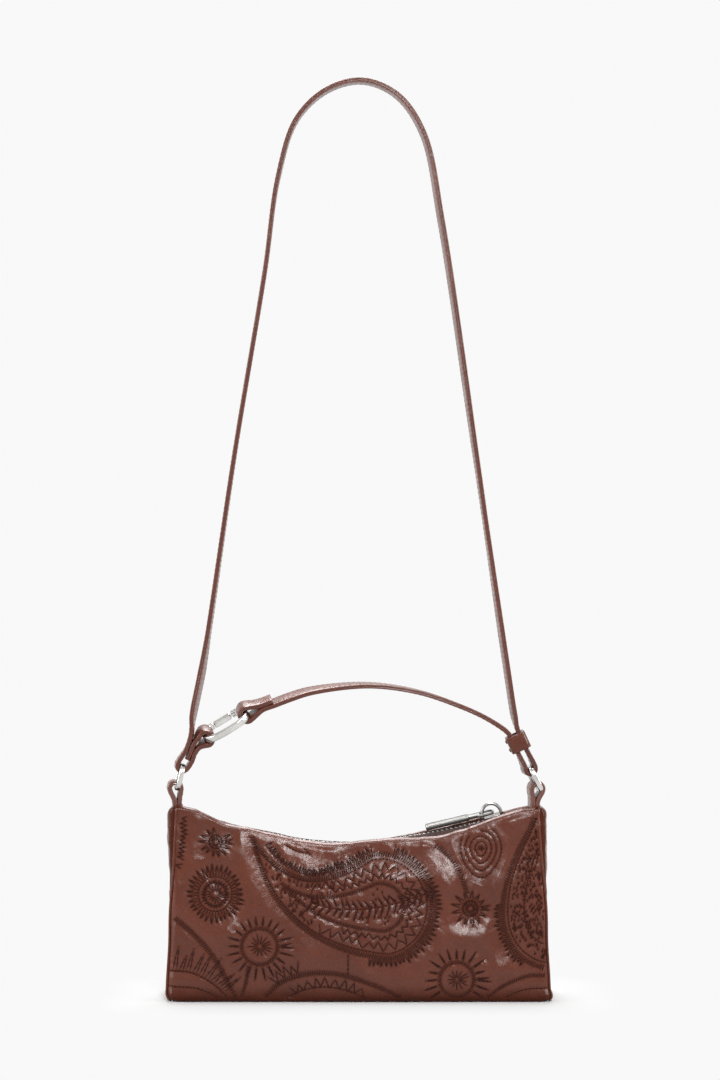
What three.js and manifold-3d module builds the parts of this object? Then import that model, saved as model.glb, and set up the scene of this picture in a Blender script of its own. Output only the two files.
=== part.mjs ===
// A small zip-top leather bag with a short grab handle and a long shoulder strap.
// Millimetres, +Z up, front towards -Y, origin on the floor at the middle of the base.
import * as THREE from "three";
import { mergeVertices } from "three/addons/utils/BufferGeometryUtils.js";
import Module from "manifold-3d";

const wasm = await Module();
wasm.setup();

// Bag body
const BASE_WIDTH = 250;
const WIDTH_TAPER = 4;
const BASE_DEPTH = 45;
const TOP_DEPTH = 24;
const MOUTH_HEIGHT = 103;
const MOUTH_RADIUS = 317;
const LEATHER = 2;
const LINING = 0.6;
const STIFFENER = 1.5;
const SEAM_GAP = 0.3;
const BASE_GAP = 0.6;

// Zip, laid along an arc that runs just below the sagging top edge
const ZIP_DROP = 0.8;
const TAPE_THICKNESS = 0.7;
const TOOTH_REACH = 2.5;
const TOOTH_THICKNESS = 1.6;
const TOOTH_PITCH = 4;
const ROW_PARTING = 1.8;
const ZIP_MARGIN = 31;
const ZIP_END_LENGTH = 11;
const STOP_LENGTH = 2.4;
const STOP_HEIGHT = 2.4;
const LINING_DROP = 1.2;

// Slider and puller
const SLIDER_REST = 4;
const SLIDER_LENGTH = 11;
const SLIDER_WIDTH = 8.6;
const SLIDER_PLATE = 1;
const SLIDER_OPENING = 3.6;
const SLIDER_POST = 1.2;
const SLIDER_POST_LENGTH = 3;
const SLIDER_LIP = 0.6;
const ARCH_LENGTH = 12;
const ARCH_HEIGHT = 9;
const ARCH_BAR = 1.5;
const ARCH_WIDTH = 2.2;
const PULLER_LENGTH = 44;
const PULLER_WIDTH = 6;
const PULLER_THICKNESS = 2.8;
const PULLER_EYE_BAR = 1.2;
const PULLER_CLEARANCE = 0.7;

// Straps, rings and tabs
const STRAP_WIDTH = 12;
const STRAP_THICKNESS = 2.8;
const STRAP_STEPS = 72;
const HANDLE_STEPS = 84;
const CONNECTOR_STEPS = 44;
const RING_WIRE = 2.6;
const RING_HEIGHT = 15;
const RING_SIDE_ROOM = 2.75;
const RING_CORNER = 4.5;
const TAB_PLY = 2.2;
const TAB_FOOT = 5.6;
const TAB_RISE = 1.164;
const TAB_EYE_DROP = 6;
const WIRE_CLEARANCE = 0.75;
const LEFT_RING_INSET = 3.8;
const LEFT_RING_RISE = 6.6;
const LEFT_RING_LEAN = 13.4;
const RIGHT_RING_INSET = 5.2;
const RIGHT_RING_RISE = 6;
const RIGHT_RING_LEAN = -25.9;

// Clip ring with its gate; its lower end is placed from the left ring's upper bar
const CLIP_LOWER_END = [15.08, 19.12];
const CLIP_SLOPE = 30.6;
const CLIP_TILT = 20;
const CLIP_LENGTH = 31;
const CLIP_SIDE_ROOM = 3;
const CLIP_CORNER = 4.2;
const CLIP_BAR = 3;
const CLIP_HEIGHT = 4.4;
const GATE_SPAN = 15;
const GATE_TONGUE = 1.6;
const GATE_PIN = 1.6;
const GATE_CLEARANCE = 0.3;
const CLIP_FOLD_CLEARANCE = 1.2;

// Keeper sleeve, placed from the right ring's upper bar, and its studs
const KEEPER_PLACE = [-7.15, 17.21];
const KEEPER_LEAN = -24.8;
const KEEPER_LENGTH = 11.3;
const KEEPER_WALL = 2;
const KEEPER_RUN_OFFSET = 3;
const STUD_HEAD = 2.4;
const STUD_SHANK = 1.4;
const STUD_HEAD_HEIGHT = 0.8;
const STUD_SPACING = 6;

// Where the strips lie next to the rings, from the upper bar of each ring (x, z)
const STRAP_LEFT_PLACE = [7.12, 32.31];
const STRAP_RIGHT_PLACE = [-8.95, 30.81];
const LEFT_RUN_PLACES = [
  [5.82, 19.81],
  [2.92, 11.31],
];
const HANDLE_START_PLACES = [
  [-15.25, 24.51],
  [-28.65, 33.11],
];

// Where they lie between the rings: share of half the top width, and share of the rise above the tabs' pivots
const STRAP_RISE = 469.5;
const STRAP_SHARES = [
  [-0.8252, 0.1917],
  [-0.6585, 0.4856],
  [-0.5, 0.737],
  [-0.4309, 0.8647],
  [-0.3333, 0.9457],
  [-0.1707, 0.9872],
  [0.0203, 1],
  [0.2033, 0.9798],
  [0.3415, 0.9265],
  [0.4374, 0.8051],
  [0.6179, 0.4856],
  [0.7805, 0.1917],
];
const HANDLE_RISE = 73.6;
const HANDLE_SHARES = [
  [0.5276, 0.822],
  [0.3146, 0.9416],
  [0.0488, 1],
  [-0.252, 0.9416],
];

const DEGREE = Math.PI / 180;
const TOP_WIDTH = BASE_WIDTH - WIDTH_TAPER;
const ARC_CENTRE = MOUTH_HEIGHT + MOUTH_RADIUS;
const ZIP_RADIUS = MOUTH_RADIUS + ZIP_DROP;
const TOOTH_ROW_END = TOP_WIDTH / 2 - ZIP_MARGIN;
const TOOTH_ROW_START = -TOOTH_ROW_END;
const SLIDER_PLACE = TOOTH_ROW_END - SLIDER_REST;
const RING_WIDTH = STRAP_WIDTH + 2 * RING_SIDE_ROOM;
const CLIP_WIDTH = STRAP_WIDTH + 2 * CLIP_SIDE_ROOM;
const finish = (color, roughness, metalness) =>
  new THREE.MeshStandardMaterial({ color, roughness, metalness });
const leatherMaterial = () => finish(0x6b3f33, 0.35, 0);
const darkLeather = () => finish(0x3c211b, 0.5, 0);
const fabricMaterial = () => finish(0x4a3029, 0.9, 0);
const boardMaterial = () => finish(0x8a7560, 0.95, 0);
const metalMaterial = () => finish(0xd4d2cd, 0.25, 1);

const bag = new THREE.Group();

function add(name, geometry, material, parent = bag) {
  const mesh = new THREE.Mesh(geometry, material);
  mesh.name = name;
  parent.add(mesh);
  return mesh;
}

// A closed body from rings of points; its ends are capped unless it runs round on itself.
function loft(rings, closed = false) {
  const size = rings[0].length;
  const points = rings.flat();
  const faces = [];
  const spans = closed ? rings.length : rings.length - 1;
  for (let i = 0; i < spans; i++) {
    const a = i * size;
    const b = ((i + 1) % rings.length) * size;
    for (let j = 0; j < size; j++) {
      const k = (j + 1) % size;
      faces.push(a + j, b + j, b + k, a + j, b + k, a + k);
    }
  }
  if (!closed) {
    const last = (rings.length - 1) * size;
    for (let j = 1; j < size - 1; j++) {
      faces.push(0, j, j + 1);
      faces.push(last, last + j + 1, last + j);
    }
  }
  return facingOut(points, faces);
}

// Turns every face round if the body they enclose would be inside out.
function facingOut(points, faces) {
  let volume = 0;
  for (let i = 0; i < faces.length; i += 3) {
    const [a, b, c] = [points[faces[i]], points[faces[i + 1]], points[faces[i + 2]]];
    volume += a.dot(new THREE.Vector3().crossVectors(b, c));
  }
  if (volume < 0) {
    for (let i = 0; i < faces.length; i += 3) [faces[i + 1], faces[i + 2]] = [faces[i + 2], faces[i + 1]];
  }
  const geometry = new THREE.BufferGeometry().setFromPoints(points);
  geometry.setIndex(faces);
  geometry.computeVertexNormals();
  return geometry;
}

// A thick sheet between an outer and an inner surface, each a function of u and v from 0 to 1.
function thickSheet(columns, rows, outer, inner) {
  const points = [];
  const faces = [];
  const across = columns + 1;
  const layer = across * (rows + 1);
  for (const surface of [outer, inner]) {
    for (let r = 0; r <= rows; r++) {
      for (let c = 0; c <= columns; c++) points.push(surface(c / columns, r / rows));
    }
  }
  const quad = (a, b, c, d) => faces.push(a, b, c, a, c, d);
  for (let r = 0; r < rows; r++) {
    for (let c = 0; c < columns; c++) {
      const i = r * across + c;
      quad(i, i + 1, i + across + 1, i + across);
      quad(layer + i, layer + i + across, layer + i + across + 1, layer + i + 1);
    }
  }
  for (let c = 0; c < columns; c++) {
    const top = rows * across + c;
    quad(c, layer + c, layer + c + 1, c + 1);
    quad(top, top + 1, layer + top + 1, layer + top);
  }
  for (let r = 0; r < rows; r++) {
    const left = r * across;
    const right = left + columns;
    quad(left, left + across, layer + left + across, layer + left);
    quad(right, layer + right, layer + right + across, right + across);
  }
  return facingOut(points, faces);
}

function toSolid(geometry) {
  const bare = geometry.clone();
  bare.deleteAttribute("normal");
  bare.deleteAttribute("uv");
  const merged = mergeVertices(bare, 1e-4);
  const mesh = new wasm.Mesh({
    numProp: 3,
    vertProperties: merged.attributes.position.array,
    triVerts: new Uint32Array(merged.index.array),
  });
  return new wasm.Manifold(mesh);
}

function toGeometry(solid) {
  const mesh = solid.getMesh();
  const geometry = new THREE.BufferGeometry();
  geometry.setAttribute("position", new THREE.BufferAttribute(new Float32Array(mesh.vertProperties), 3));
  geometry.setIndex(new THREE.BufferAttribute(new Uint32Array(mesh.triVerts), 1));
  geometry.computeVertexNormals();
  return geometry;
}

const joined = (...pieces) => toGeometry(pieces.map(toSolid).reduce((sum, piece) => sum.add(piece)));
const common = (a, b) => toGeometry(toSolid(a).intersect(toSolid(b)));
function cutBy(body, ...tools) {
  const rest = tools.map(toSolid).reduce((left, tool) => left.subtract(tool), toSolid(body));
  return toGeometry(rest);
}

function box(x0, x1, y0, y1, z0, z1) {
  const geometry = new THREE.BoxGeometry(x1 - x0, y1 - y0, z1 - z0);
  return geometry.translate((x0 + x1) / 2, (y0 + y1) / 2, (z0 + z1) / 2);
}

// An outline drawn in X and Z, given a width along Y about y = 0.
function acrossDepth(shape, width, curveSegments = 8) {
  const geometry = new THREE.ExtrudeGeometry(shape, { depth: width, bevelEnabled: false, curveSegments });
  return geometry.rotateX(Math.PI / 2).translate(0, width / 2, 0);
}

function roundedRectangle(length, width, corner) {
  const x = length / 2;
  const y = width / 2;
  const shape = new THREE.Shape();
  shape.absarc(x - corner, y - corner, corner, 0, Math.PI / 2);
  shape.absarc(-x + corner, y - corner, corner, Math.PI / 2, Math.PI);
  shape.absarc(-x + corner, -y + corner, corner, Math.PI, 1.5 * Math.PI);
  shape.absarc(x - corner, -y + corner, corner, 1.5 * Math.PI, 2 * Math.PI);
  shape.closePath();
  return shape;
}

// Panels, side walls, base and lining
const halfWidth = (v) => THREE.MathUtils.lerp(BASE_WIDTH, TOP_WIDTH, v) / 2;
const halfDepth = (v) => THREE.MathUtils.lerp(BASE_DEPTH, TOP_DEPTH, v) / 2;
const edgeHeight = (x) => ARC_CENTRE - Math.sqrt(MOUTH_RADIUS ** 2 - x ** 2);
const zipHeight = (x) => ARC_CENTRE - Math.sqrt(ZIP_RADIUS ** 2 - x ** 2);

// One face of the front (side -1) or back (side 1), set in from the outside and drawn between two heights.
function wallSurface(side, inset, sideInset, bottom, top) {
  return (u, v) => {
    const low = bottom / edgeHeight(0);
    const x0 = (2 * u - 1) * (halfWidth(0) - sideInset);
    const high = top(x0) / edgeHeight(x0);
    const height = THREE.MathUtils.lerp(low, high, v);
    const x = (2 * u - 1) * (halfWidth(height) - sideInset);
    const z = THREE.MathUtils.lerp(bottom, top(x), v);
    return new THREE.Vector3(x, side * (halfDepth(z / edgeHeight(x)) - inset), z);
  };
}

function panel(side) {
  const faces = [0, LEATHER].map((inset) => wallSurface(side, inset, 0, 0, edgeHeight));
  return thickSheet(26, 6, ...faces);
}

function lining(side) {
  const bottom = LEATHER + STIFFENER + 3 * SEAM_GAP;
  const top = (x) => zipHeight(x) - LINING_DROP;
  const outside = LEATHER + SEAM_GAP;
  const sideInset = LEATHER + SEAM_GAP;
  const faces = [outside, outside + LINING].map((inset) => wallSurface(side, inset, sideInset, bottom, top));
  return thickSheet(20, 4, ...faces);
}

const TAB_PIVOT_HEIGHT = edgeHeight(TOP_WIDTH / 2) + TAB_RISE;
const GUSSET_TOP = TAB_PIVOT_HEIGHT - STRAP_WIDTH / 2 - SEAM_GAP;
function gusset(side) {
  const bottom = LEATHER + SEAM_GAP;
  const surface = (inset) => (u, v) => {
    const z = THREE.MathUtils.lerp(bottom, GUSSET_TOP, v);
    const height = z / edgeHeight(halfWidth(1));
    const reach = halfDepth(height) - LEATHER - SEAM_GAP;
    return new THREE.Vector3(side * (halfWidth(height) - inset), (2 * u - 1) * reach, z);
  };
  return thickSheet(4, 8, surface(0), surface(LEATHER));
}

add("front_panel", panel(-1), leatherMaterial());
add("back_panel", panel(1), leatherMaterial());
add("left_gusset", gusset(-1), leatherMaterial());
add("right_gusset", gusset(1), leatherMaterial());
const baseReach = BASE_DEPTH / 2 - LEATHER - BASE_GAP;
add("base_panel", box(-BASE_WIDTH / 2, BASE_WIDTH / 2, -baseReach, baseReach, 0, LEATHER), leatherMaterial());
const boardLength = TOP_WIDTH / 2 - LEATHER - BASE_GAP;
const boardBottom = LEATHER + SEAM_GAP;
const boardReach = baseReach - BASE_GAP;
const boardTop = boardBottom + STIFFENER;
const board = box(-boardLength, boardLength, -boardReach, boardReach, boardBottom, boardTop);
add("base_stiffener", board, boardMaterial());
add("front_lining", lining(-1), fabricMaterial());
add("back_lining", lining(1), fabricMaterial());

// A block that follows the zip's arc: from place to place along it, by height above it and by depth.
const arcPoint = (place, y, height) => {
  const angle = Math.asin(place / ZIP_RADIUS);
  const radius = ZIP_RADIUS - height;
  return new THREE.Vector3(radius * Math.sin(angle), y, ARC_CENTRE - radius * Math.cos(angle));
};
const arcSection = (place, y0, y1, low, high) => [
  arcPoint(place, y0, low),
  arcPoint(place, y1, low),
  arcPoint(place, y1, high),
  arcPoint(place, y0, high),
];
function arcBlock(from, to, y0, y1, low, high, steps) {
  const rings = [];
  for (let i = 0; i <= steps; i++) {
    const place = THREE.MathUtils.lerp(from, to, i / steps);
    rings.push(arcSection(place, y0, y1, low, high));
  }
  return loft(rings);
}

const ROW_NEAR = ROW_PARTING / 2;
const ROW_FAR = ROW_NEAR + TOOTH_REACH;
const TAPE_NEAR = ROW_FAR + SEAM_GAP;
const TAPE_FAR = TOP_DEPTH / 2 - LEATHER - SEAM_GAP;
const TAPE_START = TOOTH_ROW_START - STOP_LENGTH - 2 * SEAM_GAP;
const TAPE_END = TOOTH_ROW_END + STOP_LENGTH + 2 * SEAM_GAP;

function zipTape(side) {
  const half = TAPE_THICKNESS / 2;
  return arcBlock(TAPE_START, TAPE_END, side * TAPE_NEAR, side * TAPE_FAR, -half, half, 24);
}

// A row of teeth on its bead: the near side steps out at each tooth.
function teethRow(side) {
  const rings = [];
  const half = TOOTH_THICKNESS / 2;
  const bead = ROW_FAR - TOOTH_REACH / 2;
  const count = Math.floor((TOOTH_ROW_END - TOOTH_ROW_START) / TOOTH_PITCH);
  const section = (place, near) => rings.push(arcSection(place, side * near, side * ROW_FAR, -half, half));
  section(TOOTH_ROW_START, bead);
  for (let i = 0; i < count; i++) {
    const start = TOOTH_ROW_START + i * TOOTH_PITCH;
    section(start + TOOTH_PITCH * 0.2, bead);
    section(start + TOOTH_PITCH * 0.3, ROW_NEAR);
    section(start + TOOTH_PITCH * 0.7, ROW_NEAR);
    section(start + TOOTH_PITCH * 0.8, bead);
  }
  section(TOOTH_ROW_END, bead);
  return loft(rings);
}

for (const [name, side] of [["front", -1], ["back", 1]]) {
  add(name + "_zip_tape", zipTape(side), fabricMaterial());
  add(name + "_zip_teeth", teethRow(side), metalMaterial());
  const from = TOOTH_ROW_END + SEAM_GAP;
  const half = STOP_HEIGHT / 2;
  const stop = arcBlock(from, from + STOP_LENGTH, side * ROW_NEAR, side * ROW_FAR, -half, half, 1);
  add(name + "_top_stop", stop, metalMaterial());
}
const bottomStopEnd = TOOTH_ROW_START - SEAM_GAP;
const stopHalf = STOP_HEIGHT / 2;
const bottomStopStart = bottomStopEnd - STOP_LENGTH;
const bottomStop = arcBlock(bottomStopStart, bottomStopEnd, -ROW_FAR, ROW_FAR, -stopHalf, stopHalf, 1);
add("zip_bottom_stop", bottomStop, metalMaterial());
for (const [name, near, way] of [["left", TAPE_START, -1], ["right", TAPE_END, 1]]) {
  const from = near + way * SEAM_GAP;
  const to = from + way * ZIP_END_LENGTH;
  const cover = arcBlock(from, to, -TAPE_FAR, TAPE_FAR, -LEATHER / 2, LEATHER / 2, 3);
  add(name + "_zip_end", cover, darkLeather());
}

// Slider: two plates, a post that parts the rows, a lip over the back tape and an arch for the puller
const slider = new THREE.Group();
const sliderAngle = Math.asin(SLIDER_PLACE / ZIP_RADIUS);
slider.position.copy(arcPoint(SLIDER_PLACE, 0, 0));
slider.rotation.y = -sliderAngle;
bag.add(slider);
const plateLow = SLIDER_OPENING / 2;
const plateHigh = plateLow + SLIDER_PLATE;

function arch() {
  const shape = new THREE.Shape();
  const reach = ARCH_LENGTH / 2;
  const foot = plateHigh - SLIDER_PLATE / 2;
  const rise = ARCH_HEIGHT;
  shape.moveTo(-reach, foot);
  shape.lineTo(-reach, plateHigh);
  shape.absellipse(0, plateHigh, reach, rise, Math.PI, 0, true);
  shape.lineTo(reach, foot);
  shape.lineTo(reach - ARCH_BAR, foot);
  shape.absellipse(0, plateHigh, reach - ARCH_BAR, rise - ARCH_BAR, 0, Math.PI, false);
  shape.lineTo(-reach + ARCH_BAR, foot);
  shape.closePath();
  return acrossDepth(shape, ARCH_WIDTH, 10);
}

function sliderBody() {
  const x = SLIDER_LENGTH / 2;
  const footPlate = Math.max(x, ARCH_LENGTH / 2);
  const y = SLIDER_WIDTH / 2;
  const upper = box(-footPlate, footPlate, -y, y, plateLow, plateHigh);
  const lower = box(-x, x, -y, y, -plateHigh, -plateLow);
  const postHalf = SLIDER_POST / 2;
  const post = box(x - SLIDER_POST_LENGTH, x, -postHalf, postHalf, -plateHigh, plateHigh);
  const lip = box(-x, x, y - SLIDER_LIP, y, plateLow - SLIDER_LIP, plateHigh);
  return joined(upper, lower, post, lip, arch());
}
add("zip_slider", sliderBody(), metalMaterial(), slider);

// Puller: a flat bar whose eye straddles the arch and turns on a cross bar inside it
const puller = new THREE.Group();
puller.position.z = plateHigh + (ARCH_HEIGHT - ARCH_BAR) / 2;
slider.add(puller);
function pullerBody() {
  const half = PULLER_THICKNESS / 2;
  const eyeInner = ARCH_WIDTH / 2 + PULLER_CLEARANCE;
  const eyeOuter = Math.max(eyeInner + PULLER_EYE_BAR, PULLER_WIDTH / 2);
  const reach = ARCH_LENGTH / 2 + PULLER_CLEARANCE;
  const crossBar = PULLER_EYE_BAR / 2;
  const plate = box(-PULLER_LENGTH, -reach, -PULLER_WIDTH / 2, PULLER_WIDTH / 2, -half, half);
  const sides = [-1, 1].map((way) => {
    const [near, far] = [way * eyeInner, way * eyeOuter].sort((a, b) => a - b);
    return box(-reach - half, crossBar, near, far, -crossBar, crossBar);
  });
  const bar = box(-crossBar, crossBar, -eyeOuter, eyeOuter, -crossBar, crossBar);
  return joined(plate, ...sides, bar);
}
add("zip_puller", pullerBody(), metalMaterial(), puller);

// Rings: a round wire bent to a rounded rectangle that stands across the bag, leaning in X
function wireRing() {
  const shape = roundedRectangle(RING_HEIGHT, RING_WIDTH, RING_CORNER);
  const path = shape.getPoints(6);
  const rings = [];
  const sides = 8;
  path.pop();
  path.forEach((point, i) => {
    const before = path[(i + path.length - 1) % path.length];
    const after = path[(i + 1) % path.length];
    const along = after.clone().sub(before).normalize();
    const ring = [];
    for (let k = 0; k < sides; k++) {
      const turn = (2 * Math.PI * k) / sides;
      const out = (RING_WIRE / 2) * Math.cos(turn);
      const up = (RING_WIRE / 2) * Math.sin(turn);
      ring.push(new THREE.Vector3(up, point.y - along.x * out, point.x + along.y * out));
    }
    rings.push(ring);
  });
  return loft(rings, true);
}

const LEFT_RING_FOOT = [-TOP_WIDTH / 2 + LEFT_RING_INSET, TAB_PIVOT_HEIGHT + LEFT_RING_RISE];
const RIGHT_RING_FOOT = [TOP_WIDTH / 2 - RIGHT_RING_INSET, TAB_PIVOT_HEIGHT + RIGHT_RING_RISE];
const leanDirection = (lean) => [Math.sin(lean * DEGREE), Math.cos(lean * DEGREE)];
function ringTop([x, z], lean) {
  const [dx, dz] = leanDirection(lean);
  return [x + RING_HEIGHT * dx, z + RING_HEIGHT * dz];
}

const EYE_RADIUS = RING_WIRE / 2 + WIRE_CLEARANCE;
// Tab: a strip folded round the ring's lower bar, its foot rounded to swing over the side wall.
function tab([x, z]) {
  const outer = EYE_RADIUS + TAB_PLY;
  const foot = TAB_PIVOT_HEIGHT - STRAP_WIDTH / 2;
  const shape = new THREE.Shape();
  shape.moveTo(x + TAB_FOOT / 2, foot);
  shape.lineTo(x + TAB_FOOT / 2, foot + LEATHER);
  shape.absarc(x, z, outer, -0.12 * Math.PI, 1.12 * Math.PI, false);
  shape.lineTo(x - TAB_FOOT / 2, foot + LEATHER);
  shape.lineTo(x - TAB_FOOT / 2, foot);
  shape.closePath();
  const eye = new THREE.Path();
  eye.absarc(x, z, EYE_RADIUS, -0.1 * Math.PI, 1.1 * Math.PI, false);
  eye.lineTo(x, z - TAB_EYE_DROP);
  eye.closePath();
  shape.holes.push(eye);
  const side = new THREE.Shape();
  const reach = STRAP_WIDTH / 2;
  side.absarc(0, TAB_PIVOT_HEIGHT, reach, Math.PI, 2 * Math.PI, false);
  side.lineTo(reach, z + 2 * outer);
  side.lineTo(-reach, z + 2 * outer);
  side.closePath();
  const round = acrossDepth(side, 4 * outer).rotateZ(Math.PI / 2).translate(x, 0, 0);
  return common(acrossDepth(shape, STRAP_WIDTH + LEATHER, 6), round);
}

for (const [name, foot, lean] of [
  ["left", LEFT_RING_FOOT, LEFT_RING_LEAN],
  ["right", RIGHT_RING_FOOT, RIGHT_RING_LEAN],
]) {
  const ring = add(name + "_ring", wireRing(), metalMaterial());
  const top = ringTop(foot, lean);
  ring.position.set((foot[0] + top[0]) / 2, 0, (foot[1] + top[1]) / 2);
  ring.rotation.y = lean * DEGREE;
  add(name + "_tab", tab(foot), leatherMaterial());
}

// A leather strip along a route of (x, z, tilt): its width lies along Y, tipped out of it by the tilt.
// With round set, both ends taper to a half circle as wide as the strip.
function strip(route, steps, round = false) {
  const knots = route.map(([x, z, tilt = 0]) => new THREE.Vector3(x, tilt, z));
  const curve = new THREE.CatmullRomCurve3(knots, false, "centripetal");
  const tilts = curve.getPoints(steps * 4);
  const flat = new THREE.CatmullRomCurve3(tilts.map((p) => new THREE.Vector3(p.x, 0, p.z)));
  const length = flat.getLength();
  const places = [];
  for (let i = 0; i <= steps; i++) places.push(i / steps);
  if (round) {
    const radius = STRAP_WIDTH / 2;
    const tips = [15, 40, 65, 90].map((turn) => (radius * (1 - Math.cos(turn * DEGREE))) / length);
    places.push(...tips, ...tips.map((place) => 1 - place));
    places.sort((a, b) => a - b);
  }
  const slope = CLIP_SLOPE * DEGREE;
  const rings = places.map((place) => {
    const middle = flat.getPointAt(place);
    const tangent = flat.getTangentAt(place);
    const nearest = tilts.reduce((best, p) => (distanceXZ(p, middle) < distanceXZ(best, middle) ? p : best));
    const tilt = nearest.y * DEGREE;
    const lift = Math.sin(tilt);
    const across = new THREE.Vector3(-Math.sin(slope) * lift, Math.cos(tilt), Math.cos(slope) * lift);
    const normal = new THREE.Vector3().crossVectors(tangent, across).normalize();
    const inFromTip = Math.min(place, 1 - place) * length;
    const reach = STRAP_WIDTH / 2;
    const missing = Math.max(0, reach - inFromTip);
    const half = round ? Math.max(Math.sqrt(reach ** 2 - missing ** 2), LEATHER / 2) : reach;
    const corner = (w, t) => {
      const edge = middle.clone().addScaledVector(across, w * half);
      return edge.addScaledVector(normal, (t * STRAP_THICKNESS) / 2);
    };
    return [corner(-1, -1), corner(1, -1), corner(1, 1), corner(-1, 1)];
  });
  return loft(rings);
}
const distanceXZ = (a, b) => Math.hypot(a.x - b.x, a.z - b.z);

// Points of a route round a bar, by angle from +X and at a given distance.
function roundBar([x, z], distance, angles, tilt = 0) {
  return angles.map((angle) => {
    const turn = angle * DEGREE;
    return [x + distance * Math.cos(turn), z + distance * Math.sin(turn), tilt];
  });
}
function between(a, b, distance) {
  const whole = Math.hypot(b[0] - a[0], b[1] - a[1]);
  const share = distance / whole;
  return [a[0] + (b[0] - a[0]) * share, a[1] + (b[1] - a[1]) * share];
}

// Long strap: rounded at both ends, which lie in the handle's runs and turn there
const tipReach = STRAP_WIDTH / 2;
const leftTurn = ringTop(LEFT_RING_FOOT, LEFT_RING_LEAN);
const rightTurn = ringTop(RIGHT_RING_FOOT, RIGHT_RING_LEAN);
const wireTurn = EYE_RADIUS + STRAP_THICKNESS / 2;
const fromLeft = ([x, z]) => [leftTurn[0] + x, leftTurn[1] + z];
const fromRight = ([x, z]) => [rightTurn[0] + x, rightTurn[1] + z];
const overBag = (rise) => ([across, up]) => [(across * TOP_WIDTH) / 2, TAB_PIVOT_HEIGHT + up * rise];
const STRAP_LEFT = fromLeft(STRAP_LEFT_PLACE);
const STRAP_RIGHT = fromRight(STRAP_RIGHT_PLACE);
const LEFT_RUN = LEFT_RUN_PLACES.map(fromLeft);
const KEEPER_CENTRE = fromRight(KEEPER_PLACE);
const keeperAxis = leanDirection(KEEPER_LEAN);
const keeperAcross = [keeperAxis[1], -keeperAxis[0]];
const keeperPoint = (across, along) => [
  KEEPER_CENTRE[0] + across * keeperAcross[0] + along * keeperAxis[0],
  KEEPER_CENTRE[1] + across * keeperAcross[1] + along * keeperAxis[1],
];
const keeperReach = KEEPER_LENGTH / 2;
const strapRun = keeperPoint(KEEPER_RUN_OFFSET, keeperReach);
const strapLeftTip = between(STRAP_LEFT, LEFT_RUN[0], tipReach);
const strapRightTip = between(STRAP_RIGHT, strapRun, tipReach);
const strapArch = STRAP_SHARES.map(overBag(STRAP_RISE));
const strapRoute = [strapLeftTip, STRAP_LEFT, ...strapArch, STRAP_RIGHT, strapRightTip];
add("long_strap", strip(strapRoute, STRAP_STEPS, true), leatherMaterial());

// Clip ring: its long axis slopes up to the right and its back rises by the tilt
const clipDirection = [Math.cos(CLIP_SLOPE * DEGREE), Math.sin(CLIP_SLOPE * DEGREE)];
const lowerEnd = fromLeft(CLIP_LOWER_END);
const alongClip = (distance) => lowerEnd.map((start, i) => start + distance * clipDirection[i]);
const upperEnd = alongClip(CLIP_LENGTH);
const clipCentre = alongClip(CLIP_LENGTH / 2);
const clip = new THREE.Group();
clip.position.set(clipCentre[0], 0, clipCentre[1]);
clip.rotation.y = -CLIP_SLOPE * DEGREE;
bag.add(clip);
const clipTilted = new THREE.Group();
clipTilted.rotation.x = CLIP_TILT * DEGREE;
clip.add(clipTilted);

const clipOuterLength = CLIP_LENGTH + CLIP_BAR;
const clipOuterWidth = CLIP_WIDTH + CLIP_BAR;
const backBar = CLIP_WIDTH / 2;
const pinHalf = GATE_PIN / 2;
const bore = pinHalf + GATE_CLEARANCE / 2;
const pivotX = GATE_SPAN / 2;
const tipX = -GATE_SPAN / 2;
const onNormal = (radius, height) =>
  new THREE.CylinderGeometry(radius, radius, height, 16).rotateX(Math.PI / 2);

function clipRing() {
  const outline = roundedRectangle(clipOuterLength, clipOuterWidth, CLIP_CORNER + CLIP_BAR / 2);
  const inside = roundedRectangle(CLIP_LENGTH - CLIP_BAR, CLIP_WIDTH - CLIP_BAR, CLIP_CORNER - CLIP_BAR / 2);
  outline.holes.push(inside);
  const solid = { depth: CLIP_HEIGHT, bevelEnabled: false, curveSegments: 6 };
  const ring = new THREE.ExtrudeGeometry(outline, solid);
  ring.translate(0, 0, -CLIP_HEIGHT / 2);
  const near = backBar - CLIP_BAR;
  const far = backBar + CLIP_BAR;
  const gapEnd = pivotX - CLIP_BAR / 2 - GATE_CLEARANCE;
  const gap = box(tipX - GATE_CLEARANCE, gapEnd, near, far, -CLIP_HEIGHT, CLIP_HEIGHT);
  const half = GATE_TONGUE / 2 + GATE_CLEARANCE;
  const slotEnd = pivotX + CLIP_BAR / 2 + GATE_CLEARANCE;
  const slot = box(tipX, slotEnd, near, far, -half, half);
  const hole = onNormal(bore, 2 * CLIP_HEIGHT).translate(pivotX, backBar, 0);
  return cutBy(ring, gap, slot, hole);
}
add("clip_ring", clipRing(), metalMaterial(), clipTilted);
const pin = add("gate_pin", onNormal(pinHalf, CLIP_HEIGHT), metalMaterial(), clipTilted);
pin.position.set(pivotX, backBar, 0);

const gate = new THREE.Group();
gate.position.set(pivotX, backBar, 0);
clipTilted.add(gate);
function gateBody() {
  const half = CLIP_BAR / 2;
  const shoulder = -CLIP_BAR / 2 - 3 * GATE_CLEARANCE;
  const bar = box(-GATE_SPAN, shoulder, -half, half, -CLIP_HEIGHT / 2, CLIP_HEIGHT / 2);
  const tongue = box(shoulder - half, 0, -half, half, -GATE_TONGUE / 2, GATE_TONGUE / 2);
  const knuckle = onNormal(half, GATE_TONGUE);
  return cutBy(joined(bar, tongue, knuckle), onNormal(bore, 2 * CLIP_HEIGHT));
}
add("clip_gate", gateBody(), metalMaterial(), gate);

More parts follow.
